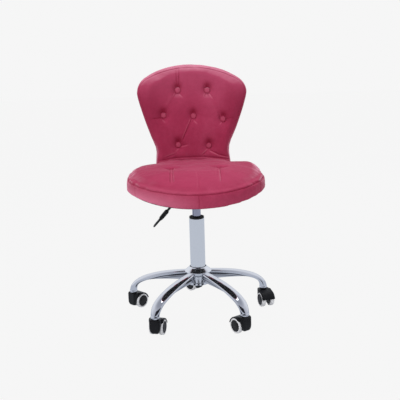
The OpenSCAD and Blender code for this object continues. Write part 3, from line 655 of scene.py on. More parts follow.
velvet = makeVelvet(velvetSettings)
tubeChrome = makeChrome("tubeChrome", (0.93, 0.94, 0.95), 0.05, 0.13)
legChrome = makeChrome("legChrome", (0.78, 0.79, 0.83), 0.02, 0.06, "groove")
hubChrome = makeChrome("hubChrome", (0.82, 0.83, 0.86), 0.10, 0.20)
rodChrome = makeChrome("rodChrome", (0.46, 0.46, 0.55), 0.10, 0.22)
brightSteel = makeBrushedSteel()
hoodPlastic = makeMoulded("hoodPlastic", (0.003, 0.003, 0.004), 1000, 0.40, 0.12, 0.0)
discPlastic = makeMoulded("discPlastic", (0.009, 0.009, 0.010), 800, 0.44, 0.15, 0.03)
gripPlastic = makeMoulded("gripPlastic", (0.010, 0.010, 0.011), 1200, 0.5, 0.25, 0)
bushPlastic = makeMoulded("bushPlastic", (0.010, 0.010, 0.012), 1100, 0.46, 0.1, 0)
coatedSteel = makeMoulded("coatedSteel", (0.018, 0.018, 0.020), 1500, 0.45, 0.35, 0)
paleTread = makeTreadMaterial()
plywood = makePlywood()
baseCloth = makeBondedCloth()
print("materials ready")


# star base

jointAt = {joint["name"]: Vector(joint["pos_m"]) for joint in frame["joints"] if "pos_m" in joint}
casterCount = 5


def bezierPoint(p, t):
    return (1 - t) ** 3 * p[0] + 3 * t * (1 - t) ** 2 * p[1] + 3 * t * t * (1 - t) * p[2] + t ** 3 * p[3]


def bezierSlope(p, t):
    return (1 - t) ** 2 * (p[1] - p[0]) + 2 * t * (1 - t) * (p[2] - p[1]) + t * t * (p[3] - p[2])


legSettings = {
    "path": [(0.029, 0.1365), (0.150, 0.129), (0.241, 0.117), (0.238, 0.0598)],   # out from the column, height
    "depths": [0.036, 0.028, 0.0195, 0.018, 0.0245],
    "widths": [0.029, 0.037, 0.0395, 0.037, 0.029],
    "lobes": [0.0125, 0.0150, 0.0180, 0.018, 0.0245],   # depth of the oval lobe along the top
    "webs": [0.62, 0.56, 0.52, 0.50, 0.50],             # width of the pressed web below it, as a share
    "lineHalf": [0.0023, 0.0025, 0.0024, 0.0015, 0.0015],   # half width of the painted dark reflection along the pressed line
    "lineEnds": (0.46, 0.60),
    "rib": 0.22,             # second painted dark line, this share of the depth below the first
    "ribEnds": (0.26, 0.44),
    # painted grey reflection over the web below the lobe
    "webShade": 0.30,
    "rings": 84,
    "sides": 160,
    "rimProud": 0.0007,      # rolled rim round the foot of the leg
    "footDepth": 0.004,
    "footStart": 0.955,      # share of the path where the rim begins
}


def makeLeg(i, s):
    stem = jointAt[f"caster_{i}_swivel"]
    out = Vector((stem.x, stem.y, 0)).normalized()
    side = Vector((-out.y, out.x, 0))
    path = [Vector(p) for p in s["path"]]
    lines = []

    def ring(t, grow):
        shades, points = [], []
        fading, ribFading = 1 - smoothStep(*s["lineEnds"], t), 0.8 * (1 - smoothStep(*s["ribEnds"], t))
        half = mixList(s["lineHalf"], t)
        c, d = bezierPoint(path, t), bezierSlope(path, t).normalized()
        h, w = mixList(s["depths"], t) / 2 + grow, mixList(s["widths"], t) / 2 + grow
        lobe = min(h, mixList(s["lobes"], t) / 2 + grow)
        webHalf = mixList(s["webs"], t) * w
        for k in range(s["sides"]):
            a = 2 * math.pi * k / s["sides"]
            up = h * math.sin(a)
            wide = w * math.sqrt(max(0, 1 - ((up - (h - lobe)) / lobe) ** 2))
            if h - lobe > 1e-5 and up < h - lobe:
                below = min(1, (h - lobe - up) / (2 * h - lobe))
                web = webHalf * math.sqrt(max(0, 1 - below ** 4)) * min(1, (h - lobe) / 0.003)
                wide = (wide ** 6 + web ** 6) ** (1 / 6)
            # painted dark reflection along both lines, and painted grey reflection over the web
            offLine = abs(up - (h - 2 * lobe + 0.4 * half)) / half
            offRib = abs(up - (h - 2 * lobe - s["rib"] * 2 * h)) / half
            onWeb = s["webShade"] * fading * smoothStep(h - 2 * lobe + half, h - 2 * lobe - half, up)
            shades.append(max(fading * smoothStep(1.2, 0.5, offLine), onWeb,
                              ribFading * smoothStep(1.1, 0.4, offRib)))
            across = math.copysign(wide, math.cos(a)) if abs(math.cos(a)) > 1e-9 else 0
            points.append(out * (c.x - up * d.y) + Vector((0, 0, c.y + up * d.x)) - side * across)
        lines.append(shades)
        return points

    rings = [ring(s["footStart"] * j / (s["rings"] - 1), 0) for j in range(s["rings"])]
    rings += [ring(t, grow) for t, grow in ((0.958, 0.0003), (0.961, s["rimProud"]), (0.985, s["rimProud"]),
                                            (0.996, 0.0004), (1, -0.0008), (1, -0.0035))]
    rings.append([p + Vector((0, 0, s["footDepth"])) for p in rings[-1]])
    lines.append([0] * s["sides"])
    leg = makePiece(f"chromeLeg{i}", *joinRings(rings), legChrome)
    paintPoints(leg.data, "groove", [shade for shades in lines for shade in shades] + [0, 0])
    tidyNormals(leg)
    sharpen(leg, 55)
    mount(leg, "base", f"leg_{i}")


hubSettings = {
    "flangeR": 0.0348,
    "bodyR": 0.033,
    "bellR": 0.0450,
    "bellZ": 0.1530,
    "neckDrop": 0.0030,      # the neck stops this far below the column sleeve's seat
}


def makeHub(s):
    low, high = boxOf("base_hub")
    tubeR = boxOf("column_tube")[1].x
    z0, z1, hubR = low.z, high.z - s["neckDrop"], s["bodyR"]
    profile = [(tubeR, z0 + 0.004), (tubeR - 0.003, z0 + 0.004), (tubeR - 0.003, z0), (s["flangeR"], z0),
               (s["flangeR"], z0 + 0.008), (hubR, z0 + 0.0085), (hubR, s["bellZ"] - 0.015),
               (s["bellR"] - 0.0006, s["bellZ"] - 0.0014), (s["bellR"], s["bellZ"]),
               (s["bellR"] - 0.0008, s["bellZ"] + 0.0014), (tubeR + 0.0052, z1 - 0.0032), (tubeR + 0.004, z1),
               (tubeR + 0.0025, z1), (tubeR + 0.0025, z1 - 0.005), (tubeR, z1 - 0.005)]
    mount(lathe("columnHub", roundCorners(profile, 0.0009, 4), hubChrome, 120), "base", "base_hub")
    # a black sealing ring sits in the groove where the column enters the hub
    seal = [(tubeR + 0.0001, z1 - 0.0048), (tubeR + 0.0024, z1 - 0.0048), (tubeR + 0.0024, z1 - 0.0016),
            (tubeR + 0.0014, z1 - 0.0006), (tubeR + 0.0001, z1 - 0.0012)]
    mount(lathe("hubSealRing", roundCorners(seal, 0.0005), bushPlastic, 96), "base", None)


columnSettings = {
    "wall": 0.002,
    "rodHole": 0.0055,
    "collarDepth": 0.0062,   # the black collar that shows over the tube's end
    "slide": 0.00006,        # clearance round the cylinder
}


def makeColumn(s):
    low, high = boxOf("column_tube")
    top = boxOf("guide_bush")[1].z - s["collarDepth"]
    r, wall, hole = high.x, s["wall"], s["rodHole"]
    profile = [(hole, low.z), (r, low.z), (r, top), (r - wall, top), (r - wall, low.z + wall), (hole, low.z + wall)]
    tube = lathe("columnTube", roundCorners(profile, 0.0008), tubeChrome, 128)
    mount(tube, "base", "column_tube")


def makeGuideCollar(s):
    low, high = boxOf("guide_bush")
    r = high.x
    inner = boxOf("gas_cylinder")[1].x + s["slide"]
    lip = high.z - s["collarDepth"]
    profile = [(inner, low.z), (r - 0.0021, low.z), (r - 0.0021, lip), (r - 0.0004, lip),
               (r - 0.0004, high.z - 0.0012), (r - 0.0012, high.z), (r - 0.0030, high.z),
               (r - 0.0040, high.z - 0.0030), (inner + 0.0020, high.z - 0.0030),
               (inner + 0.0014, high.z - 0.0010), (inner, high.z - 0.0010)]
    collar = lathe("guideCollar", roundCorners(profile, 0.0005), bushPlastic, 128)
    mount(collar, "base", "guide_bush")


for number in range(1, casterCount + 1):
    makeLeg(number, legSettings)
makeHub(hubSettings)
makeColumn(columnSettings)
makeGuideCollar(columnSettings)
print("star base made")


# casters

hoodSettings = {
    "front": 0.014,
    "trail": 0.022,
    "wheelR": 0.025,
    "wellR": 0.026,
    "fenderR": 0.0285,
    "topZ": 0.0575,
    "chinZ": 0.0115,
    "chinR": 0.0085,
    "edgeR": 0.0050,
    "blockHalf": 0.0178,      # half width of the block round the stem
    "blockFootHalf": 0.0070,  # where its rounded foot begins
    "blockFootRise": 0.0220,
    "webHalf": 0.0075,
    "stemR": 0.0056,
    "stemDepth": 0.018,
    "cornerFrom": 0.0115,     # where the block's front corners begin, and how far they draw back
    "cornerBack": 0.0075,
    "axleCover": 0.0016,      # the hood's side past each end of the axle
}


def bow(share):
    # 0 to 1 along a quarter circle
    return 1 - math.sqrt(max(0.0, 1 - share * share))


def arcPoints(cx, cz, r, a0, a1, n):
    turns = [math.radians(a0 + (a1 - a0) * k / n) for k in range(n + 1)]
    return [(cx + r * math.cos(a), cz + r * math.sin(a)) for a in turns]


def hoodOutline(s, shrink, back, rise):
    # side outline of the hood; back and rise draw the stem block in from the front and from below
    front, chin = -s["front"] + shrink + back, s["chinZ"] + shrink + rise
    r = s["chinR"]
    outline = arcPoints(front + r, chin + r, r, 180, 270, 9)
    outline += [(0.0045, max(chin, s["chinZ"] + shrink)), (s["trail"] - 0.004, max(0.0165 + shrink, chin * 0.9))]
    outline += arcPoints(s["trail"], s["wheelR"], s["fenderR"] - shrink, 10, 72, 22)
    outline += [(0.0185, s["topZ"] - shrink - 0.0022), (0.0125, s["topZ"] - shrink)]
    r = 0.005
    outline += arcPoints(front + r, s["topZ"] - shrink - r, r, 90, 180, 8)
    return outline


def onAxle(place, inward, side):
    # on the axle, with Z out to one side
    return (place @ Matrix.Translation((hoodSettings["trail"], side * inward, hoodSettings["wheelR"]))
            @ Matrix.Rotation(math.radians(-90 * side), 4, "X"))


def makeHoodMesh(s):
    low, high = boxOf("caster_1_axle")
    half = math.hypot(high.x - low.x, high.y - low.y) / 2 + s["axleCover"]
    block, footFrom, cornerFrom = s["blockHalf"], s["blockFootHalf"], s["cornerFrom"]
    stations = []
    for k in range(25):
        y = half * math.sin(math.pi / 2 * k / 24)
        shrink = 0.8 * s["edgeR"] * bow(max(0.0, (y - (half - s["edgeR"])) / s["edgeR"]))
        rise = s["blockFootRise"] * bow(min(1.0, max(0.0, (y - footFrom) / (block - footFrom))))
        back = s["cornerBack"] * bow(min(1.0, max(0.0, (y - cornerFrom) / (block + 0.0006 - cornerFrom))))
        if y > block:
            back = s["cornerBack"] + 0.010 * smoothStep(block, block + 0.0012, y)
        stations.append((y, shrink, back, rise))
    both = [(-y, *rest) for y, *rest in reversed(stations[1:])] + stations
    loops = [[(x, y, z) for x, z in hoodOutline(s, shrink, back, rise)] for y, shrink, back, rise in both]
    hood = makePiece("hoodShape", *joinRings(loops), hoodPlastic)
    tidyNormals(hood)
    well = [(0, s["webHalf"]), (s["wellR"], s["webHalf"]), (s["wellR"], 0.06), (0, 0.06)]
    cutters = [lathe("well", well, None, 128, onAxle(Matrix(), 0, side)) for side in (-1, 1)]
    floor = s["topZ"] - s["stemDepth"]
    cutters.append(lathe("stemHole", [(0, floor), (s["stemR"], floor), (s["stemR"], 0.08), (0, 0.08)], None, 48))
    for cutter in cutters:
        cut = hood.modifiers.new("cut", "BOOLEAN")
        cut.object = cutter
        cut.solver = "EXACT"
    applyModifiers(hood)
    for cutter in cutters:
        bpy.data.objects.remove(cutter)
    sharpen(hood, 42)
    return meshOnly(hood)


def trailPlace(i):
    # stands at the stem on the floor, with X along the way the caster trails
    stem = jointAt[f"caster_{i}_swivel"]
    low, high = boxOf(f"caster_{i}_axle")
    away = (low + high) / 2 - stem
    return Matrix.Translation((stem.x, stem.y, 0)) @ Matrix.Rotation(math.atan2(away.y, away.x), 4, "Z")


wheelSettings = {
    "inY": 0.008,
    "width": 0.015,
    "coreR": 0.0192,
    "treadR": 0.025,
}


def makeDiscMesh(s):
    w, r = s["width"], s["coreR"]
    profile = [(0.0041, 0), (0.008, 0), (0.008, 0.0012), (0.0165, 0.002), (0.0172, 0.0006), (r, 0.0006),
               (r, w - 0.0011), (r - 0.0006, w - 0.0006), (r - 0.0016, w - 0.0006), (r - 0.0021, w - 0.0017),
               (r - 0.0030, w - 0.0019), (0.0098, w - 0.0008), (0.0092, w - 0.0012), (0.0086, w - 0.0008),
               (0.0080, w - 0.0003), (0.0030, w), (0.0, w), (0.0, w - 0.0029), (0.0041, w - 0.0029)]
    return meshOnly(lathe("discShape", roundCorners(profile[:-2], 0.0004, 2) + profile[-2:], discPlastic, 96))


def makeTreadMesh(s):
    w, r, inner = s["width"], s["treadR"], s["coreR"]
    profile = [(inner + 0.00005, 0.0007), (r - 0.0030, 0.0003), (r - 0.0012, 0.0011), (r - 0.0003, 0.0028),
               (r, 0.0050), (r, w / 2 - 0.0005), (r - 0.0003, w / 2), (r, w / 2 + 0.0005), (r, w - 0.0050),
               (r - 0.0003, w - 0.0028), (r - 0.0012, w - 0.0011), (r - 0.0030, w - 0.0003),
               (inner + 0.00005, w - 0.0007)]
    return meshOnly(lathe("treadShape", roundCorners(profile, 0.0006, 2), paleTread, 128))


def placeCopy(name, mesh, where, body, node):
    piece = newObject(name, mesh)
    piece.matrix_world = where
    bpy.context.view_layer.update()
    mount(piece, body, node)
    return piece


hoodMesh = makeHoodMesh(hoodSettings)
discMesh = makeDiscMesh(wheelSettings)
treadMesh = makeTreadMesh(wheelSettings)
for number in range(1, casterCount + 1):
    place, caster = trailPlace(number), f"caster_{number}"
    placeCopy(f"casterHood{number}", hoodMesh, place, caster, f"{caster}_hood")
    for word, side in (("left", 1), ("right", -1)):
        where, body = onAxle(place, wheelSettings["inY"], side), f"{caster}_{word}_wheel"
        placeCopy(f"{word}Disc{number}", discMesh, where, body, f"{caster}_{word}_core")
        placeCopy(f"{word}Tread{number}", treadMesh, where, body, f"{caster}_{word}_tread")
print("casters made")


# gas lift and lever

def makeGasCylinder():
    low, high = boxOf("gas_cylinder")
    r, taperTop = high.x, high.z
    taperZ = boxOf("taper_socket")[0].z
    profile = [(0.0053, low.z), (r, low.z), (r, taperZ - 0.0006), (r - 0.0003, taperZ), (r - 0.001, taperTop),
               (0.0045, taperTop), (0.0045, taperTop - 0.016), (0.0053, taperTop - 0.022)]
    cylinder = lathe("gasCylinder", roundCorners(profile, 0.0008), rodChrome, 96)
    mount(cylinder, "seat", "gas_cylinder")


leverSettings = {
    "rodR": 0.004,
    "slope": 48,
    "length": 0.152,
    "grip": 0.073,
    "bendX": -0.042,
    "bendR": 0.012,
    "gripOver": 0.012,       # how far the rod runs into the grip
    "pivotX": -0.026,
}


def makeLever(s):
    z = boxOf("lever_pivot")[0].z / 2 + boxOf("lever_pivot")[1].z / 2
    slope = math.radians(s["slope"])
    down = Vector((-math.cos(slope), 0, -math.sin(slope)))
    side = Vector((0, 1, 0))
    # the rod: along from its inner end, round a smooth bend, down the slope into the grip
    start, bend = Vector((boxOf("height_lever")[1].x, 0, z)), Vector((s["bendX"], 0, z))
    a, b = bend + Vector((s["bendR"], 0, 0)), bend + down * s["bendR"]
    points = [start] + [(1 - t) ** 2 * a + 2 * t * (1 - t) * bend + t * t * b for t in (k / 12 for k in range(13))]
    points.append(bend + down * (s["length"] - s["grip"] + s["gripOver"]))
    rings = []
    for k, p in enumerate(points):
        along = (points[min(k + 1, len(points) - 1)] - points[max(k - 1, 0)]).normalized()
        up = side.cross(along).normalized()
        rings.append([p + s["rodR"] * (math.cos(2 * math.pi * i / 28) * side + math.sin(2 * math.pi * i / 28) * up)
                      for i in range(28)])
    first = [start + (p - start) * 0.8 + Vector((0.0008, 0, 0)) for p in rings[0]]
    rod = makePiece("leverRod", *joinRings([first] + rings), coatedSteel)
    tidyNormals(rod)
    sharpen(rod, 50)
    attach(rod, "lever")
    # flattened ears where the pivot pin passes through the rod
    ear = [(0.0021, -0.0053), (0.0037, -0.0053), (0.0037, 0.0053), (0.0021, 0.0053)]
    eyes = lathe("leverEye", roundCorners(ear, 0.0004), coatedSteel, 40,
                 Matrix.Translation((s["pivotX"], 0, z)) @ Matrix.Rotation(math.radians(90), 4, "X"))
    eyes.parent = rod
    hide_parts("height_lever")
    makeGrip(s, bend + down * (s["length"] - s["grip"]), down)


def makeGrip(s, start, down):
    # thick ribbed sleeve, a step, and a thin rounded paddle
    stations = [
        # along, half width, half thickness, squareness
        (0.0, 0.0050, 0.0050, 2.0), (0.0012, 0.0068, 0.0064, 2.0), (0.006, 0.0078, 0.0075, 2.1),
        (0.012, 0.0080, 0.0075, 2.2), (0.020, 0.0084, 0.0074, 2.3), (0.028, 0.0092, 0.0072, 2.4),
        (0.034, 0.0104, 0.0066, 2.6), (0.0375, 0.0116, 0.0052, 2.9), (0.040, 0.0127, 0.0036, 3.2),
        (0.0425, 0.0134, 0.0031, 3.6), (0.048, 0.0139, 0.0030, 3.8), (0.056, 0.0140, 0.0030, 3.8),
        (0.062, 0.0139, 0.0029, 3.6), (0.066, 0.0133, 0.0028, 3.4), (0.0695, 0.0115, 0.0026, 3.0),
        (0.0715, 0.0088, 0.0022, 2.6), (0.0728, 0.0052, 0.0015, 2.2),
        (s["grip"], 0.0015, 0.0006, 2.0),
    ]
    side = Vector((0, 1, 0))
    up = side.cross(down).normalized()
    rings = []
    for at, w, h, power in stations:
        ring = []
        for k in range(48):
            a = 2 * math.pi * k / 48
            c, q = math.cos(a), math.sin(a)
            x = w * math.copysign(abs(c) ** (2 / power), c)
            y = h * math.copysign(abs(q) ** (2 / power), q)
            ring.append(start + down * at + side * x + up * y)
        rings.append(ring)
    grip = makePiece("leverGrip", *joinRings(rings), gripPlastic)
    tidyNormals(grip)
    subdivide(grip, 2)
    # shallow finger ribs round the sleeve
    for v in grip.data.vertices:
        at = (v.co - start).dot(down)
        if 0.009 < at < 0.031:
            axis = start + down * at
            rib = 0.5 + 0.5 * math.cos(2 * math.pi * (at - 0.009) / 0.0044)
            v.co = axis + (v.co - axis) * (1 - 0.05 * rib)
    mount(grip, "lever", "lever_grip")


makeGasCylinder()
makeLever(leverSettings)
print("lever made")


# upholstery

def inflate(piece, s, hold):
    # swells the piece as its stuffing would; hold says how freely each point may move
    even = piece.modifiers.new("even", "REMESH")
    even.mode = "VOXEL"
    even.voxel_size = s["voxel"]
    applyModifiers(piece)
    start = [v.co.copy() for v in piece.data.vertices]
    scene = bpy.context.scene
    cloth = piece.modifiers.new("stuffing", "CLOTH")
    cloth.settings.quality = 5
    cloth.settings.use_pressure = True
    cloth.settings.uniform_pressure_force = s["pressure"]
    cloth.settings.tension_stiffness = 20
    cloth.settings.compression_stiffness = 20
    cloth.settings.effector_weights.gravity = 0
    cloth.point_cache.frame_start = 1
    cloth.point_cache.frame_end = 20
    for frameNumber in range(1, 21):
        scene.frame_set(frameNumber)
    graph = bpy.context.evaluated_depsgraph_get()
    swollen = piece.evaluated_get(graph).to_mesh()
    ends = [v.co.copy() for v in swollen.vertices]
    piece.evaluated_get(graph).to_mesh_clear()
    piece.modifiers.clear()
    scene.frame_set(1)
    for v, a, b in zip(piece.data.vertices, start, ends):
        move = (b - a) * hold(a)
        if move.length > s["cap"]:
            move *= s["cap"] / move.length
        v.co = a + move
    smooth = piece.modifiers.new("smooth", "SMOOTH")
    smooth.factor = 0.5
    smooth.iterations = s["smoothing"]
    subdivide(piece, 2)


def makeTree(points):
    tree = KDTree(len(points))
    for k, p in enumerate(points):
        tree.insert(p, k)
    tree.balance()
    return tree


def bell(x, width):
    return math.exp(-(x / width) ** 2)


def creaseDepth(p, crease):
    # a sewn or pulled fold at p: a narrow line in a wider soft valley, fading along its length;
    # gives its depth, the shade in the line and the lit lip beside it
    a, b, depth, width, fade, dark, light = crease
    along = b - a
    t = (p - a).dot(along) / (along.length * along.length)
    side = (p - a).cross(along) / along.length
    if t < -0.25 or t > 1.15 or abs(side) > 9 * width:
        return 0, 0, 0
    share = smoothStep(-0.10, 0.10, t) * (1 - smoothStep(*((0.45, 1.02) if fade else (0.92, 1.10)), t))
    across = side / width
    line, valley, ridge = bell(across, 1), bell(across, 3.4), bell(across - 1.9, 1.1)
    return share * depth * (0.62 * line + 0.5 * valley - 0.22 * ridge), share * line * dark, share * ridge * light


seatSettings = {
    "turn": 1.8,
    "halfW": 0.224,
    "front": 0.231,
    "rear": 0.196,
    "boardZ": 0.434,
    "boardT": 0.012,
    "band": 0.039,
    "bandPad": 0.014,
    "crownH": 0.028,
    "crownY": 0.080,
    "seamDrop": 0.015,
    "frontDrop": 0.024,
    "flat": 0.062,
    "slim": -0.0035,        # how much smaller the cover starts before it is stuffed
    "shift": 0.0010,
    "voxel": 0.005,
    "smoothing": 4,
    "pressure": 4,
    "cap": 0.007,
    "tufts": [(-0.079, 0.001), (0.079, -0.001)],
    "tuftDepth": 0.0095,
    "puff": 0.0085,         # fuller stuffing at one rear corner: how much, where, how far it reaches
    "puffAt": (0.200, 0.110),
    "puffReach": (0.042, 0.070),
    "ease": 0.0052,         # and slacker beside the back
    "easeAt": (0.140, 0.165),
    "easeReach": (0.036, 0.060),
    "seamDepth": 0.0024,
    "seamHalf": 0.0019,
    "joins": (269, 331, 209, 90),   # where the band's ends are sewn together, degrees round
    "pleatEnd": -0.165,
}


def seatFall(y, depth):
    s = seatSettings
    return depth * (max(0, -y - s["flat"]) / (s["front"] - s["flat"])) ** 1.6


def seatPlan(a, grow):
    s = seatSettings
    c, q = math.cos(a), math.sin(a)
    k = 1 if q < 0 else 2 / 3.4
    reach = s["front"] if q < 0 else s["rear"]
    return ((s["halfW"] + grow) * math.copysign(abs(c) ** k, c), (reach + grow) * math.copysign(abs(q) ** k, q))


def hump(x, y, at, reach):
    return math.exp(-((x - at[0]) / reach[0]) ** 2 - ((y - at[1]) / reach[1]) ** 2)


def seatTop(x, y):
    s = seatSettings
    rho = math.hypot(x / s["halfW"], (y - s["crownY"]) / (s["front"] + s["crownY"]))
    puff = s["puff"] * hump(x, y, s["puffAt"], s["puffReach"])
    ease = s["ease"] * hump(abs(x), y, s["easeAt"], s["easeReach"])
    return s["boardZ"] + s["band"] - seatFall(y, s["seamDrop"]) + s["crownH"] * max(0, 1 - rho ** 5) + puff - ease


def skewed(x, y, z):
    # the stuffed cover sits a little turned on its board
    a = math.radians(seatSettings["turn"])
    return Vector((x * math.cos(a) - y * math.sin(a) + seatSettings["shift"], x * math.sin(a) + y * math.cos(a), z))


def seatRing(grow, scale, heightOf, n=180):
    ring = []
    for k in range(n):
        x, y = seatPlan(2 * math.pi * (k + 0.5) / n, grow)
        x, y = x * scale, y * scale
        z = heightOf(x, y)
        ring.append(skewed(x, y, z) if grow > -0.0075 else Vector((x, y, z)))
    return ring


def seatFolds():
    # pleats and pinches of the seat's top, as start, end, depth, width, fading, painted shade, painted highlight
    pleats = [
        # tuft, start from it, end to its side, and the rest as above
        (0, (-0.0040, -0.004), -0.001, 0.0016, 0.0020, False, 0.30, 0),
        (0, (0.0050, -0.004), 0.008, 0.0020, 0.0020, False, 0.30, 0.30),
        (1, (0, -0.004), -0.004, 0.0018, 0.0021, False, 0.30, 0.25),
        (1, (-0.006, -0.02), -0.016, 0.0009, 0.0022, True, 0.15, 0.10),
    ]
    tufts = [Vector(place) for place in seatSettings["tufts"]]
    folds = [[tufts[n] + Vector(start), Vector((tufts[n].x + aside, seatSettings["pleatEnd"])), *rest]
             for n, start, aside, *rest in pleats]
    for here, sign in zip(tufts, (-1, 1)):
        for turn, reach, depth in ((18, 0.040, 0.0020), (62, 0.028, 0.0018), (118, 0.024, 0.0018),
                                   (158, 0.038, 0.0020), (205, 0.030, 0.0012), (338, 0.034, 0.0016)):
            way = math.radians(turn + sign * 7)
            to = here + reach * Vector((math.cos(way), math.sin(way)))
            folds.append([here, to, depth, 0.0030, True, 0.40, 0])
    folds.append([Vector((0.006, -0.090)), Vector((0.006, -0.215)), 0.0006, 0.0022, False, 0.10, 0.12])
    return folds


def addFolds(flat, folds, sink, shade, lit, share=1):
    for crease in folds:
        depth, dark, light = creaseDepth(flat, crease)
        sink += depth * share
        shade, lit = max(shade, dark), max(lit, light)
    return sink, shade, lit


def sculptSeat(piece):
    s = seatSettings
    folds = seatFolds()
    round1600 = [2 * math.pi * k / 1600 for k in range(1600)]
    seam = [skewed(x, y, seatTop(x, y) - 0.0022) for x, y in (seatPlan(a, 0.0012) for a in round1600)]
    lower = [skewed(x, y, s["boardZ"] + 0.0015 - seatFall(y, s["frontDrop"])) for x, y in
             (seatPlan(a, 0.0) for a in round1600)]
    joins = [skewed(*seatPlan(math.radians(turn), 0), 0).normalized() for turn in s["joins"]]
    seamTree, lowerTree = makeTree([Vector((p.x, p.y, 0)) for p in seam]), makeTree(lower)
    mesh = piece.data
    values = [0.0] * len(mesh.vertices)
    normals = [v.normal.copy() for v in mesh.vertices]
    for k, v in enumerate(mesh.vertices):
        p, n = v.co.copy(), normals[k]
        if p.z < s["boardZ"] + s["boardT"] - 0.001 and n.z < -0.7:
            continue
        # the seam round the top, with the lip above it
        flat = Vector((p.x, p.y, 0))
        spot, index, away = seamTree.find(flat)
        drop = seam[index].z - p.z
        inside = max(0, away - 0.012) if flat.length < spot.length else 0
        groove = bell(math.hypot(drop, inside), s["seamHalf"])
        lip = bell(drop + 0.0052, 0.0030) * bell(inside, 0.006)
        v.co -= n * (s["seamDepth"] * groove - 0.0004 * lip)
        # the band's joins and its lower edge
        d = min(abs(flat.cross(way).z) if flat.dot(way) > 0 else 1 for way in joins)
        line = bell(d, s["seamHalf"]) * smoothStep(0.5, 0.2, abs(n.z)) * (0 < drop)
        v.co -= n * 0.0011 * line
        v.co -= n * 0.0006 * bell(lowerTree.find(p)[2], 0.004)
        shade, lit = max(0.55 * groove, 0.45 * line), 0.08 * lip
        top = smoothStep(0.35, 0.75, n.z)
        if top > 0:
            sink = 0.0
            for x, y in s["tufts"]:
                r = math.hypot(p.x - x, p.y - y)
                sink += s["tuftDepth"] / (1 + (r / 0.0125) ** 2) ** 1.25
                shade = max(shade, 0.9 * bell(r, 0.0038))
            sink, shade, lit = addFolds(flat.xy, folds, sink, shade, lit)
            wave = noise.noise(p * 21) * 0.0011 + noise.noise(p * 46 + Vector((3, 1, 7))) * 0.0005
            v.co.z -= top * (sink - wave)
        values[k] = shade - lit * 0.6
    paintPoints(mesh, "fold", values)


def makeSeatCushion(s):
    g, within = -s["slim"], 0.0003 - s["bandPad"]

    def floor(x, y):
        return s["boardZ"] + s["boardT"] + 0.0003 - seatFall(y, s["frontDrop"])

    def rim(x, y):
        return s["boardZ"] + 0.0006 - seatFall(y, s["frontDrop"])

    rings = [seatRing(within, k, floor) for k in (0.1, 0.4, 0.7, 0.9, 1)]
    rings += [seatRing(within, 1, rim), seatRing(-0.0030, 1, rim)]
    rings.append(seatRing(g + 0.0022, 1, lambda x, y: rim(x, y) + 0.0030))
    for f in (k / 7 for k in range(1, 7)):
        bulge = 0.0012 * math.sin(math.pi * f)
        rings.append(seatRing(g + 0.0026 + bulge, 1, lambda x, y: (1 - f) * rim(x, y) + f * (seatTop(x, y) - 0.003)))
    rings.append(seatRing(g + 0.0030, 1, lambda x, y: seatTop(x, y) - 0.0045))
    rings.append(seatRing(g + 0.0018, 0.995, lambda x, y: seatTop(x, y) - 0.0028))
    rings += [seatRing(g, k, lambda x, y: seatTop(x, y) - 0.0035) for k in
              (0.975, 0.95, 0.91, 0.86, 0.8, 0.73, 0.65, 0.56, 0.46, 0.36, 0.26, 0.16, 0.07)]
    cushion = makePiece("seatCushion", *joinRings(rings), velvet)
    tidyNormals(cushion)

    def hold(p):
        edge = math.hypot(p.x / (s["halfW"] - s["bandPad"]), p.y / (s["front"] - s["bandPad"]))
        rise = smoothStep(0.001, 0.010, p.z - rim(p.x, p.y))
        return rise if p.z > floor(p.x, p.y) + 0.004 or edge > 0.99 else 0.0

    inflate(cushion, s, hold)
    sculptSeat(cushion)
    mount(cushion, "seat", "seat_cushion")


makeSeatCushion(seatSettings)
print("seat cushion made")


backSettings = {
    "topZ": 0.828,
    "topArcR": 0.347,
    "halfW": 0.1935,
    "wideZ": 0.737,
    "shoulderR": 0.056,
    "sideTurn": 13.5,
    "waistW": 0.131,
    "waistZ": 0.527,
    "z0": 0.441,
    "lean": 8,
    "curveR": 0.520,
    "y": 0.236,
    "coverD": 0.017,
    "coverT": 0.004,
    "middle": (0, 0.640),
    "slim": -0.0003,
    "voxel": 0.0042,
    "smoothing": 7,
    "pressure": 4,
    "cap": 0.008,
    "buttons": [(-0.050, 0.741), (0.055, 0.739), (-0.1035, 0.656), (0.0035, 0.6505), (0.1085, 0.638),
                (-0.054, 0.5505), (0.0555, 0.545)],
    "buttonR": 0.0108,
    "buttonH": 0.007,
    "buttonFloor": -0.023,
    "pitDepth": 0.0125,
    "seamInset": 0.0085,
    "askew": 0.020,         # slope of the crest, which is sewn slightly askew, and where it begins
    "askewZ": (0.70, 0.80),
    "fuller": 0.014,        # the stuffed waist stands a little fuller, and to one side
    "aside": -0.0022,
    "waistFrom": (0.70, 0.58),
}


def crestDrop(x, z):
    return backSettings["askew"] * x * smoothStep(*backSettings["askewZ"], z)


def backPoint(x, z, d):
    # a point of the back by its place across and up, and how far behind the board's face it lies
    s = backSettings
    z -= crestDrop(x, z)
    return Vector((x, s["y"] + (z - s["z0"]) * math.tan(math.radians(s["lean"])) - s["curveR"]
                   + math.sqrt(s["curveR"] ** 2 - x * x) + d, z))


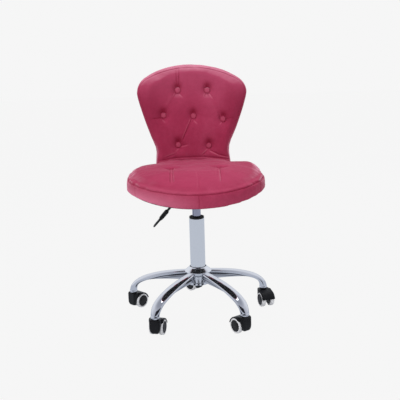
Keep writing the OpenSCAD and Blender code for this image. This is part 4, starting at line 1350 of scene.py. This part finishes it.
def backHalf(inset, fine=3):
    s = backSettings
    topC, topR = Vector((0, s["topZ"] - s["topArcR"])), s["topArcR"] - inset
    shC, shR = Vector((s["halfW"] - s["shoulderR"], s["wideZ"])), s["shoulderR"] - inset
    meet = math.atan2(shC.y - topC.y, shC.x - topC.x)
    footR = 0.030 - inset / 2
    waist = Vector((s["waistW"] - inset, s["waistZ"]))
    turn = math.radians(s["sideTurn"])
    low = shC + shR * Vector((math.cos(turn), -math.sin(turn)))
    out = []
    n = 10 * fine
    for k in range(n):
        a = (math.pi / 2 - meet) * k / n
        out.append(topC + topR * Vector((math.sin(a), math.cos(a))))
    n = 7 * fine
    for k in range(n + 1):
        a = meet + (-turn - meet) * k / n
        out.append(shC + shR * Vector((math.cos(a), math.sin(a))))
    ctrl = [low, low - 0.076 * Vector((math.sin(turn), math.cos(turn))), waist + Vector((0.004, 0.047)), waist]
    n = 7 * fine
    out += [bezierPoint(ctrl, k / n) for k in range(1, n + 1)]
    foot = Vector((waist.x + 0.003 - footR, s["z0"] + inset / 2 + footR))
    n = 4 * fine
    for k in range(n + 1):
        a = math.radians(-80 * k / n)
        out.append(foot + footR * Vector((math.cos(a), math.sin(a))))
    end, n = out[-1], 6 * fine
    out += [Vector((end.x * (1 - (k + 1) / (n + 0.5)), end.y)) for k in range(n)]
    return out


def eased(p):
    low = smoothStep(*backSettings["waistFrom"], p.y)
    return Vector((p.x * (1 + backSettings["fuller"] * low) + backSettings["aside"] * low, p.y))


def backRing(inset, scale, d):
    half = backHalf(inset)
    loop = half + [Vector((-p.x, p.y)) for p in reversed(half[1:])]
    mid = Vector(backSettings["middle"])
    return [backPoint(*eased(mid + scale * (p - mid)), d) for p in loop]


backFolds = [
    # pleats and pulls, as start, end, depth, width, fading, painted shade, painted highlight; a place with a
    # button's number first is measured from that button
    # double pleat up from the upper left button, three short ones from the upper right
    ((0, 0.0050, 0.006), (-0.0440, 0.832), 0.0018, 0.0019, True, 0.70, 0),
    ((0, -0.0035, 0.006), (-0.0535, 0.828), 0.0015, 0.0019, True, 0.55, 0),
    ((0, 0.0012, 0.020), (-0.0487, 0.828), -0.0006, 0.0018, True, 0, 0.35),
    ((1, -0.0090, 0.007), (1, -0.0105, 0.034), 0.0016, 0.0017, True, 0.50, 0),
    ((1, 0.0000, 0.008), (1, 0.0000, 0.036), 0.0014, 0.0017, True, 0.45, 0),
    ((1, 0.0085, 0.007), (1, 0.0110, 0.034), 0.0016, 0.0017, True, 0.50, 0),
    # short fans under the upper buttons
    ((0, -0.006, -0.010), (0, -0.018, -0.026), 0.0014, 0.0020, True, 0.15, 0.35),
    ((0, 0.007, -0.010), (0, 0.022, -0.026), 0.0016, 0.0020, True, 0.15, 0.40),
    ((1, -0.006, -0.011), (1, -0.013, -0.026), 0.0016, 0.0018, True, 0.15, 0.45),
    ((1, 0.001, -0.012), (1, 0.002, -0.027), 0.0014, 0.0018, True, 0.15, 0.35),
    ((1, 0.009, -0.010), (1, 0.024, -0.033), 0.0020, 0.0019, True, 0.20, 0.55),
    # soft hollows from the upper row to the middle row
    ((0, -0.012, -0.022), (2, 0.010, 0.020), 0.0010, 0.0052, False, 0.10, 0.10),
    ((1, 0.018, -0.030), (4, -0.010, 0.020), 0.0008, 0.0052, False, 0.05, 0.08),
    # middle row: pulls to the side edges and the light curls beside the outer buttons
    ((2, -0.008, -0.006), (2, -0.050, -0.012), 0.0018, 0.0019, True, 0.50, 0),
    ((2, 0.009, 0.003), (2, 0.015, 0.026), 0.0014, 0.0020, True, 0.10, 0.35),
    ((2, 0.000, -0.012), (2, 0.012, -0.024), 0.0012, 0.0022, True, 0.05, 0.35),
    ((4, 0.008, 0.002), (4, 0.046, 0.006), 0.0016, 0.0019, True, 0.40, 0),
    ((4, -0.011, 0.000), (4, -0.017, 0.032), 0.0022, 0.0018, True, 0.35, 0.50),
    ((4, -0.002, -0.012), (4, -0.012, -0.024), 0.0012, 0.0022, True, 0.05, 0.40),
    # centre button: the long double pull down to the lower left button
    ((3, -0.0075, -0.009), (5, 0.0160, 0.018), 0.0026, 0.0019, False, 0.55, 0.40),
    ((3, -0.0020, -0.012), (5, 0.0215, 0.030), 0.0014, 0.0019, True, 0.30, 0.30),
    ((3, 0.004, -0.012), (3, 0.018, -0.028), 0.0018, 0.0020, True, 0.15, 0.50),
    # lower left button: curl to its right, and a long light crease along the foot
    ((5, 0.010, -0.002), (5, 0.040, 0.004), 0.0018, 0.0019, True, 0.30, 0.45),
    ((5, 0.008, -0.009), (5, -0.010, -0.030), 0.0016, 0.0022, True, 0.15, 0.45),
    ((5, -0.012, -0.030), (-0.112, 0.506), 0.0014, 0.0022, True, 0.20, 0.35),
    # lower right button: the peaked crease that runs out to the right edge
    ((6, 0.004, -0.014), (6, 0.034, -0.030), 0.0030, 0.0019, False, 0.55, 0.80),
    ((6, 0.034, -0.030), (0.126, 0.506), 0.0026, 0.0020, False, 0.50, 0.60),
    ((6, -0.004, -0.014), (6, -0.030, -0.036), 0.0022, 0.0020, True, 0.25, 0.55),
    # slack cloth gathered along the foot, above the seat
    ((-0.124, 0.500), (-0.060, 0.5075), 0.0018, 0.0022, False, 0.45, 0.35),
    ((-0.066, 0.5075), (0.040, 0.5085), 0.0020, 0.0022, False, 0.50, 0.30),
    ((0.034, 0.5085), (0.128, 0.499), 0.0022, 0.0022, False, 0.55, 0.45),
]


def foldPlace(place):
    if len(place) == 2:
        return Vector(place)
    button, across, up = place
    x, z = backSettings["buttons"][button]
    return Vector((x + across, z + up))


def sculptBack(piece):
    s = backSettings
    folds = [[foldPlace(start), foldPlace(end), *rest] for start, end, *rest in backFolds]
    mesh = piece.data
    values = [0.0] * len(mesh.vertices)
    lean = math.radians(s["lean"])
    inward = Vector((0, math.cos(lean), -math.sin(lean)))
    # the front panel is sewn to the side band a little inside the outline
    outline = [Vector((side * p.x, p.y)) for p in backHalf(s["seamInset"], 14) for side in (-1, 1)]
    seamTree = makeTree([backPoint(*eased(p), 0) for p in outline])
    normals = [v.normal.copy() for v in mesh.vertices]
    for k, v in enumerate(mesh.vertices):
        p, n = v.co.copy(), normals[k]
        depth = p.y - backPoint(p.x, p.z, 0).y
        front = smoothStep(-0.006, -0.024, depth)
        if front <= 0 or n.y > 0.1:
            continue
        sink, shade, lit = 0.0, 0.0, 0.0
        for x, z in s["buttons"]:
            dx, dz = p.x - x, p.z - z
            r = math.hypot(dx, dz * (0.80 if dz > 0 else 1.0))
            sink = max(sink, s["pitDepth"] / (1 + (max(0, r - 0.006) / 0.0150) ** 2) ** 1.3)
            above = bell(math.hypot(dx * 0.95, (dz - 0.0165) * 0.85), 0.0118)
            rim = bell(max(0, r - 0.010), 0.0018)
            shade = max(shade, 0.80 * above, (0.35 + 0.45 * smoothStep(-0.012, 0.010, dz)) * rim)
        sink, shade, lit = addFolds(Vector((p.x, p.z)), folds, sink, shade, lit, 0.9)
        spot = seamTree.find(backPoint(p.x, p.z + crestDrop(p.x, p.z), 0))[0]
        seam = bell(math.hypot(spot.x - p.x, spot.z - p.z), 0.0015)
        sink += 0.0012 * seam
        shade = max(shade, 0.30 * seam)
        wave = noise.noise(p * 17) * 0.0012 + noise.noise(p * 40 + Vector((5, 2, 9))) * 0.0004
        v.co += inward * front * (min(sink, s["pitDepth"] + 0.001) - wave)
        values[k] = (shade - lit * 0.6) * front
    paintPoints(mesh, "fold", values)


def makeBackPad(s):
    g = s["slim"]
    profile = [
        # inset from the outline, depth behind the board's face
        (0.0118, -0.0003), (0.0118, s["coverD"] - 0.001), (0.004, s["coverD"] - 0.001),
        (g + 0.0006, s["coverD"] - 0.005), (g, 0.006), (g, -0.001), (g, -0.008), (g + 0.0012, -0.0135),
        (g + 0.004, -0.0185), (g + 0.008, -0.0225),
        (g + 0.013, -0.0258), (g + 0.020, -0.0282), (g + 0.028, -0.0295),
    ]
    rings = [backRing(0.0118, k, -0.0003) for k in (0.1, 0.35, 0.6, 0.8)]
    rings += [backRing(inset, 1, d) for inset, d in profile]
    rings += [backRing(g + 0.028, k, -0.0295 - 0.0016 * (1 - k)) for k in
              (0.93, 0.85, 0.76, 0.66, 0.55, 0.43, 0.3, 0.16, 0.05)]
    pad = makePiece("backPad", *joinRings(rings), velvet)
    tidyNormals(pad)

    def hold(p):
        depth = p.y - backPoint(p.x, p.z, 0).y
        return smoothStep(0.014, 0.004, depth) if depth > -0.001 else 1.0

    inflate(pad, s, hold)
    sculptBack(pad)
    mount(pad, "seat", "back_pad")


def makeButtons(s):
    # cloth pulled over a domed cap and gathered under its edge
    r, h = s["buttonR"], s["buttonH"]
    profile = [(0, 0.0004), (r * 0.93, 0.0004), (r, 0.0016), (r * 0.985, 0.0030), (r * 0.90, 0.0046),
               (r * 0.72, 0.0058), (r * 0.48, 0.0066), (r * 0.22, h - 0.0001), (0, h)]
    mesh = meshOnly(lathe("buttonShape", roundCorners(profile, 0.0008, 3), velvet, 72))
    values = []
    for v in mesh.vertices:
        out = math.hypot(v.co.x, v.co.y) / r
        turn = math.atan2(v.co.y, v.co.x)
        gather = smoothStep(0.75, 1.0, out) * (0.5 + 0.5 * math.cos(18 * turn)) * 0.00035
        if out > 0.05:
            v.co.x *= 1 - gather / (out * r)
            v.co.y *= 1 - gather / (out * r)
        # painted shade under the gathered edge, and a painted highlight on the dome
        values.append(0.5 * smoothStep(0.9, 1.0, out) * smoothStep(0.0035, 0.001, v.co.z)
                      - 0.22 * smoothStep(1.0, 0.5, out))
    paintPoints(mesh, "fold", values)
    facing = Matrix.Rotation(math.radians(90 - s["lean"]), 4, "X")
    for k, (x, z) in enumerate(s["buttons"]):
        where = Matrix.Translation(backPoint(x, z, s["buttonFloor"]))
        turn = Matrix.Rotation(-math.asin(x / s["curveR"]), 4, "Z")
        placeCopy(f"backButton{k + 1}", mesh, where @ (turn @ facing), "seat", None)
    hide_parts("back_buttons")


def makeRearCover(s):
    # taut rear panel, a little full, with a welted edge
    front, rear = s["coverD"], s["coverD"] + s["coverT"]
    steps = [(0.0045, front), (0.0035, front + 0.0008), (0.0032, front + 0.0018), (0.0038, rear - 0.0014),
             (0.0052, rear - 0.0003), (0.0085, rear), (0.0105, rear - 0.0006), (0.0125, rear - 0.0001),
             (0.018, rear + 0.0006), (0.026, rear + 0.0011)]
    rings = [backRing(0.026, k, front) for k in (0.1, 0.5, 0.9)] + [backRing(i, 1, d) for i, d in steps]
    rings += [backRing(0.026, k, rear + 0.0011 + 0.0018 * (1 - k * k)) for k in
              (0.94, 0.87, 0.79, 0.7, 0.6, 0.5, 0.4, 0.3, 0.2, 0.1, 0.04)]
    panel = makePiece("rearPanel", *joinRings(rings), velvet)
    tidyNormals(panel)
    subdivide(panel, 1)
    outline = [backPoint(p.x, p.y, rear) for p in backHalf(0.0105, 12)]
    outline += [Vector((-p.x, p.y, p.z)) for p in outline]
    tree = makeTree(outline)
    values = []
    for v in panel.data.vertices:
        depth = v.co.y - backPoint(v.co.x, v.co.z, 0).y
        # painted shade in a thin line along the welted edge
        values.append(0.7 * bell(tree.find(v.co)[2], 0.0016) if depth > front + 0.002 else 0)
        if depth > rear - 0.0005:
            v.co.y += noise.noise(v.co * 15) * 0.0009 + noise.noise(v.co * 38) * 0.0003
    paintPoints(panel.data, "fold", values)
    mount(panel, "seat", "back_rear_cover")


makeBackPad(backSettings)
makeButtons(backSettings)
makeRearCover(backSettings)
print("back made")


baseClothSettings = {
    "inset": 0.008,
    "thick": 0.0006,
    "lift": 0.0003,
    "reach": (0.218, 0.220, 0.188),   # half width, front and rear of the stapled edge
    "staples": 46,
    "stapleIn": 0.006,
    "wireR": 0.00035,
    "crown": 0.0095,
    "legs": 0.0011,
}


def makeBaseCloth(s):
    def under(x, y):
        return seatSettings["boardZ"] - seatFall(y, seatSettings["frontDrop"])

    rings = [seatRing(-s["inset"], k, lambda x, y: under(x, y) - s["thick"] - s["lift"]) for k in
             (0.04, 0.12, 0.2, 0.3, 0.4, 0.5, 0.6, 0.7, 0.8, 0.88, 0.94, 0.97, 0.985, 0.995, 1)]
    rings += [seatRing(-s["inset"], k, lambda x, y: under(x, y) - s["lift"]) for k in
              (1, 0.995, 0.97, 0.94, 0.8, 0.6, 0.4, 0.2, 0.04)]
    cover = makePiece("baseCloth", *joinRings(rings), baseCloth)
    tidyNormals(cover)
    wide, front, rear = s["reach"]
    for v in cover.data.vertices:
        edge = math.hypot(v.co.x / wide, v.co.y / (front if v.co.y < 0 else rear))
        slack = (1 - smoothStep(0.86, 0.99, edge)) * 0.00045
        turn = math.atan2(v.co.y, v.co.x)
        pucker = smoothStep(0.75, 0.96, edge) * (1 - smoothStep(0.985, 1.0, edge)) * 0.0003
        v.co.z -= slack * (0.5 + 0.5 * noise.noise(v.co * 26)) + pucker * (0.5 + 0.5 * math.cos(turn * s["staples"]))
    mount(cover, "seat", "seat_base_cover")
    makeStaples(s, under)


def makeStaples(s, under):
    # one mesh of small wire staples round the edge of the cloth
    bm = bmesh.new()
    for k in range(s["staples"]):
        a = 2 * math.pi * (k + 0.5) / s["staples"]
        (x, y), (x2, y2) = (seatPlan(turn, -s["inset"] - s["stapleIn"]) for turn in (a, a + 0.01))
        way = math.atan2(y2 - y, x2 - x)
        lean = Matrix.Rotation(way + math.radians(8 * noise.noise(Vector((k * 1.7, 0, 0)))), 4, "Z")
        where = Matrix.Translation((x, y, under(x, y) - 0.0009)) @ lean
        wires = [(s["crown"], Matrix.Rotation(math.radians(90), 4, "Y"))]
        wires += [(s["legs"], Matrix.Translation((end * 0.0046, 0, 0.0004))) for end in (-1, 1)]
        for length, place in wires:
            bmesh.ops.create_cone(bm, cap_ends=True, segments=8, radius1=s["wireR"], radius2=s["wireR"],
                                  depth=length, matrix=where @ place)
    mesh = bpy.data.meshes.new("baseStaples")
    bm.to_mesh(mesh)
    bm.free()
    mesh.materials.append(brightSteel)
    mount(newObject("baseStaples", mesh), "seat", None)


makeBaseCloth(baseClothSettings)
print("base cloth made")


# pieces kept from the frame

def dress(node, material):
    piece = frame["nodes"][node]
    if not piece.data.materials:
        piece.data.materials.append(material)
    for slot in piece.material_slots:
        slot.link = "OBJECT"
        slot.material = material


steelNodes = ["caster_stems", "thrust_bearing", "retaining_clip", "piston_rod", "release_pin", "lever_pivot",
              "plate_screws", "bracket_screws"]
steelNodes += [f"caster_{number}_axle" for number in range(1, casterCount + 1)]
for material, nodes in ((coatedSteel, ["seat_plate", "taper_socket", "back_brackets"]), (brightSteel, steelNodes),
                        (bushPlastic, ["caster_sockets"]), (plywood, ["seat_board", "back_board"])):
    for node in nodes:
        dress(node, material)

print("frame pieces dressed")
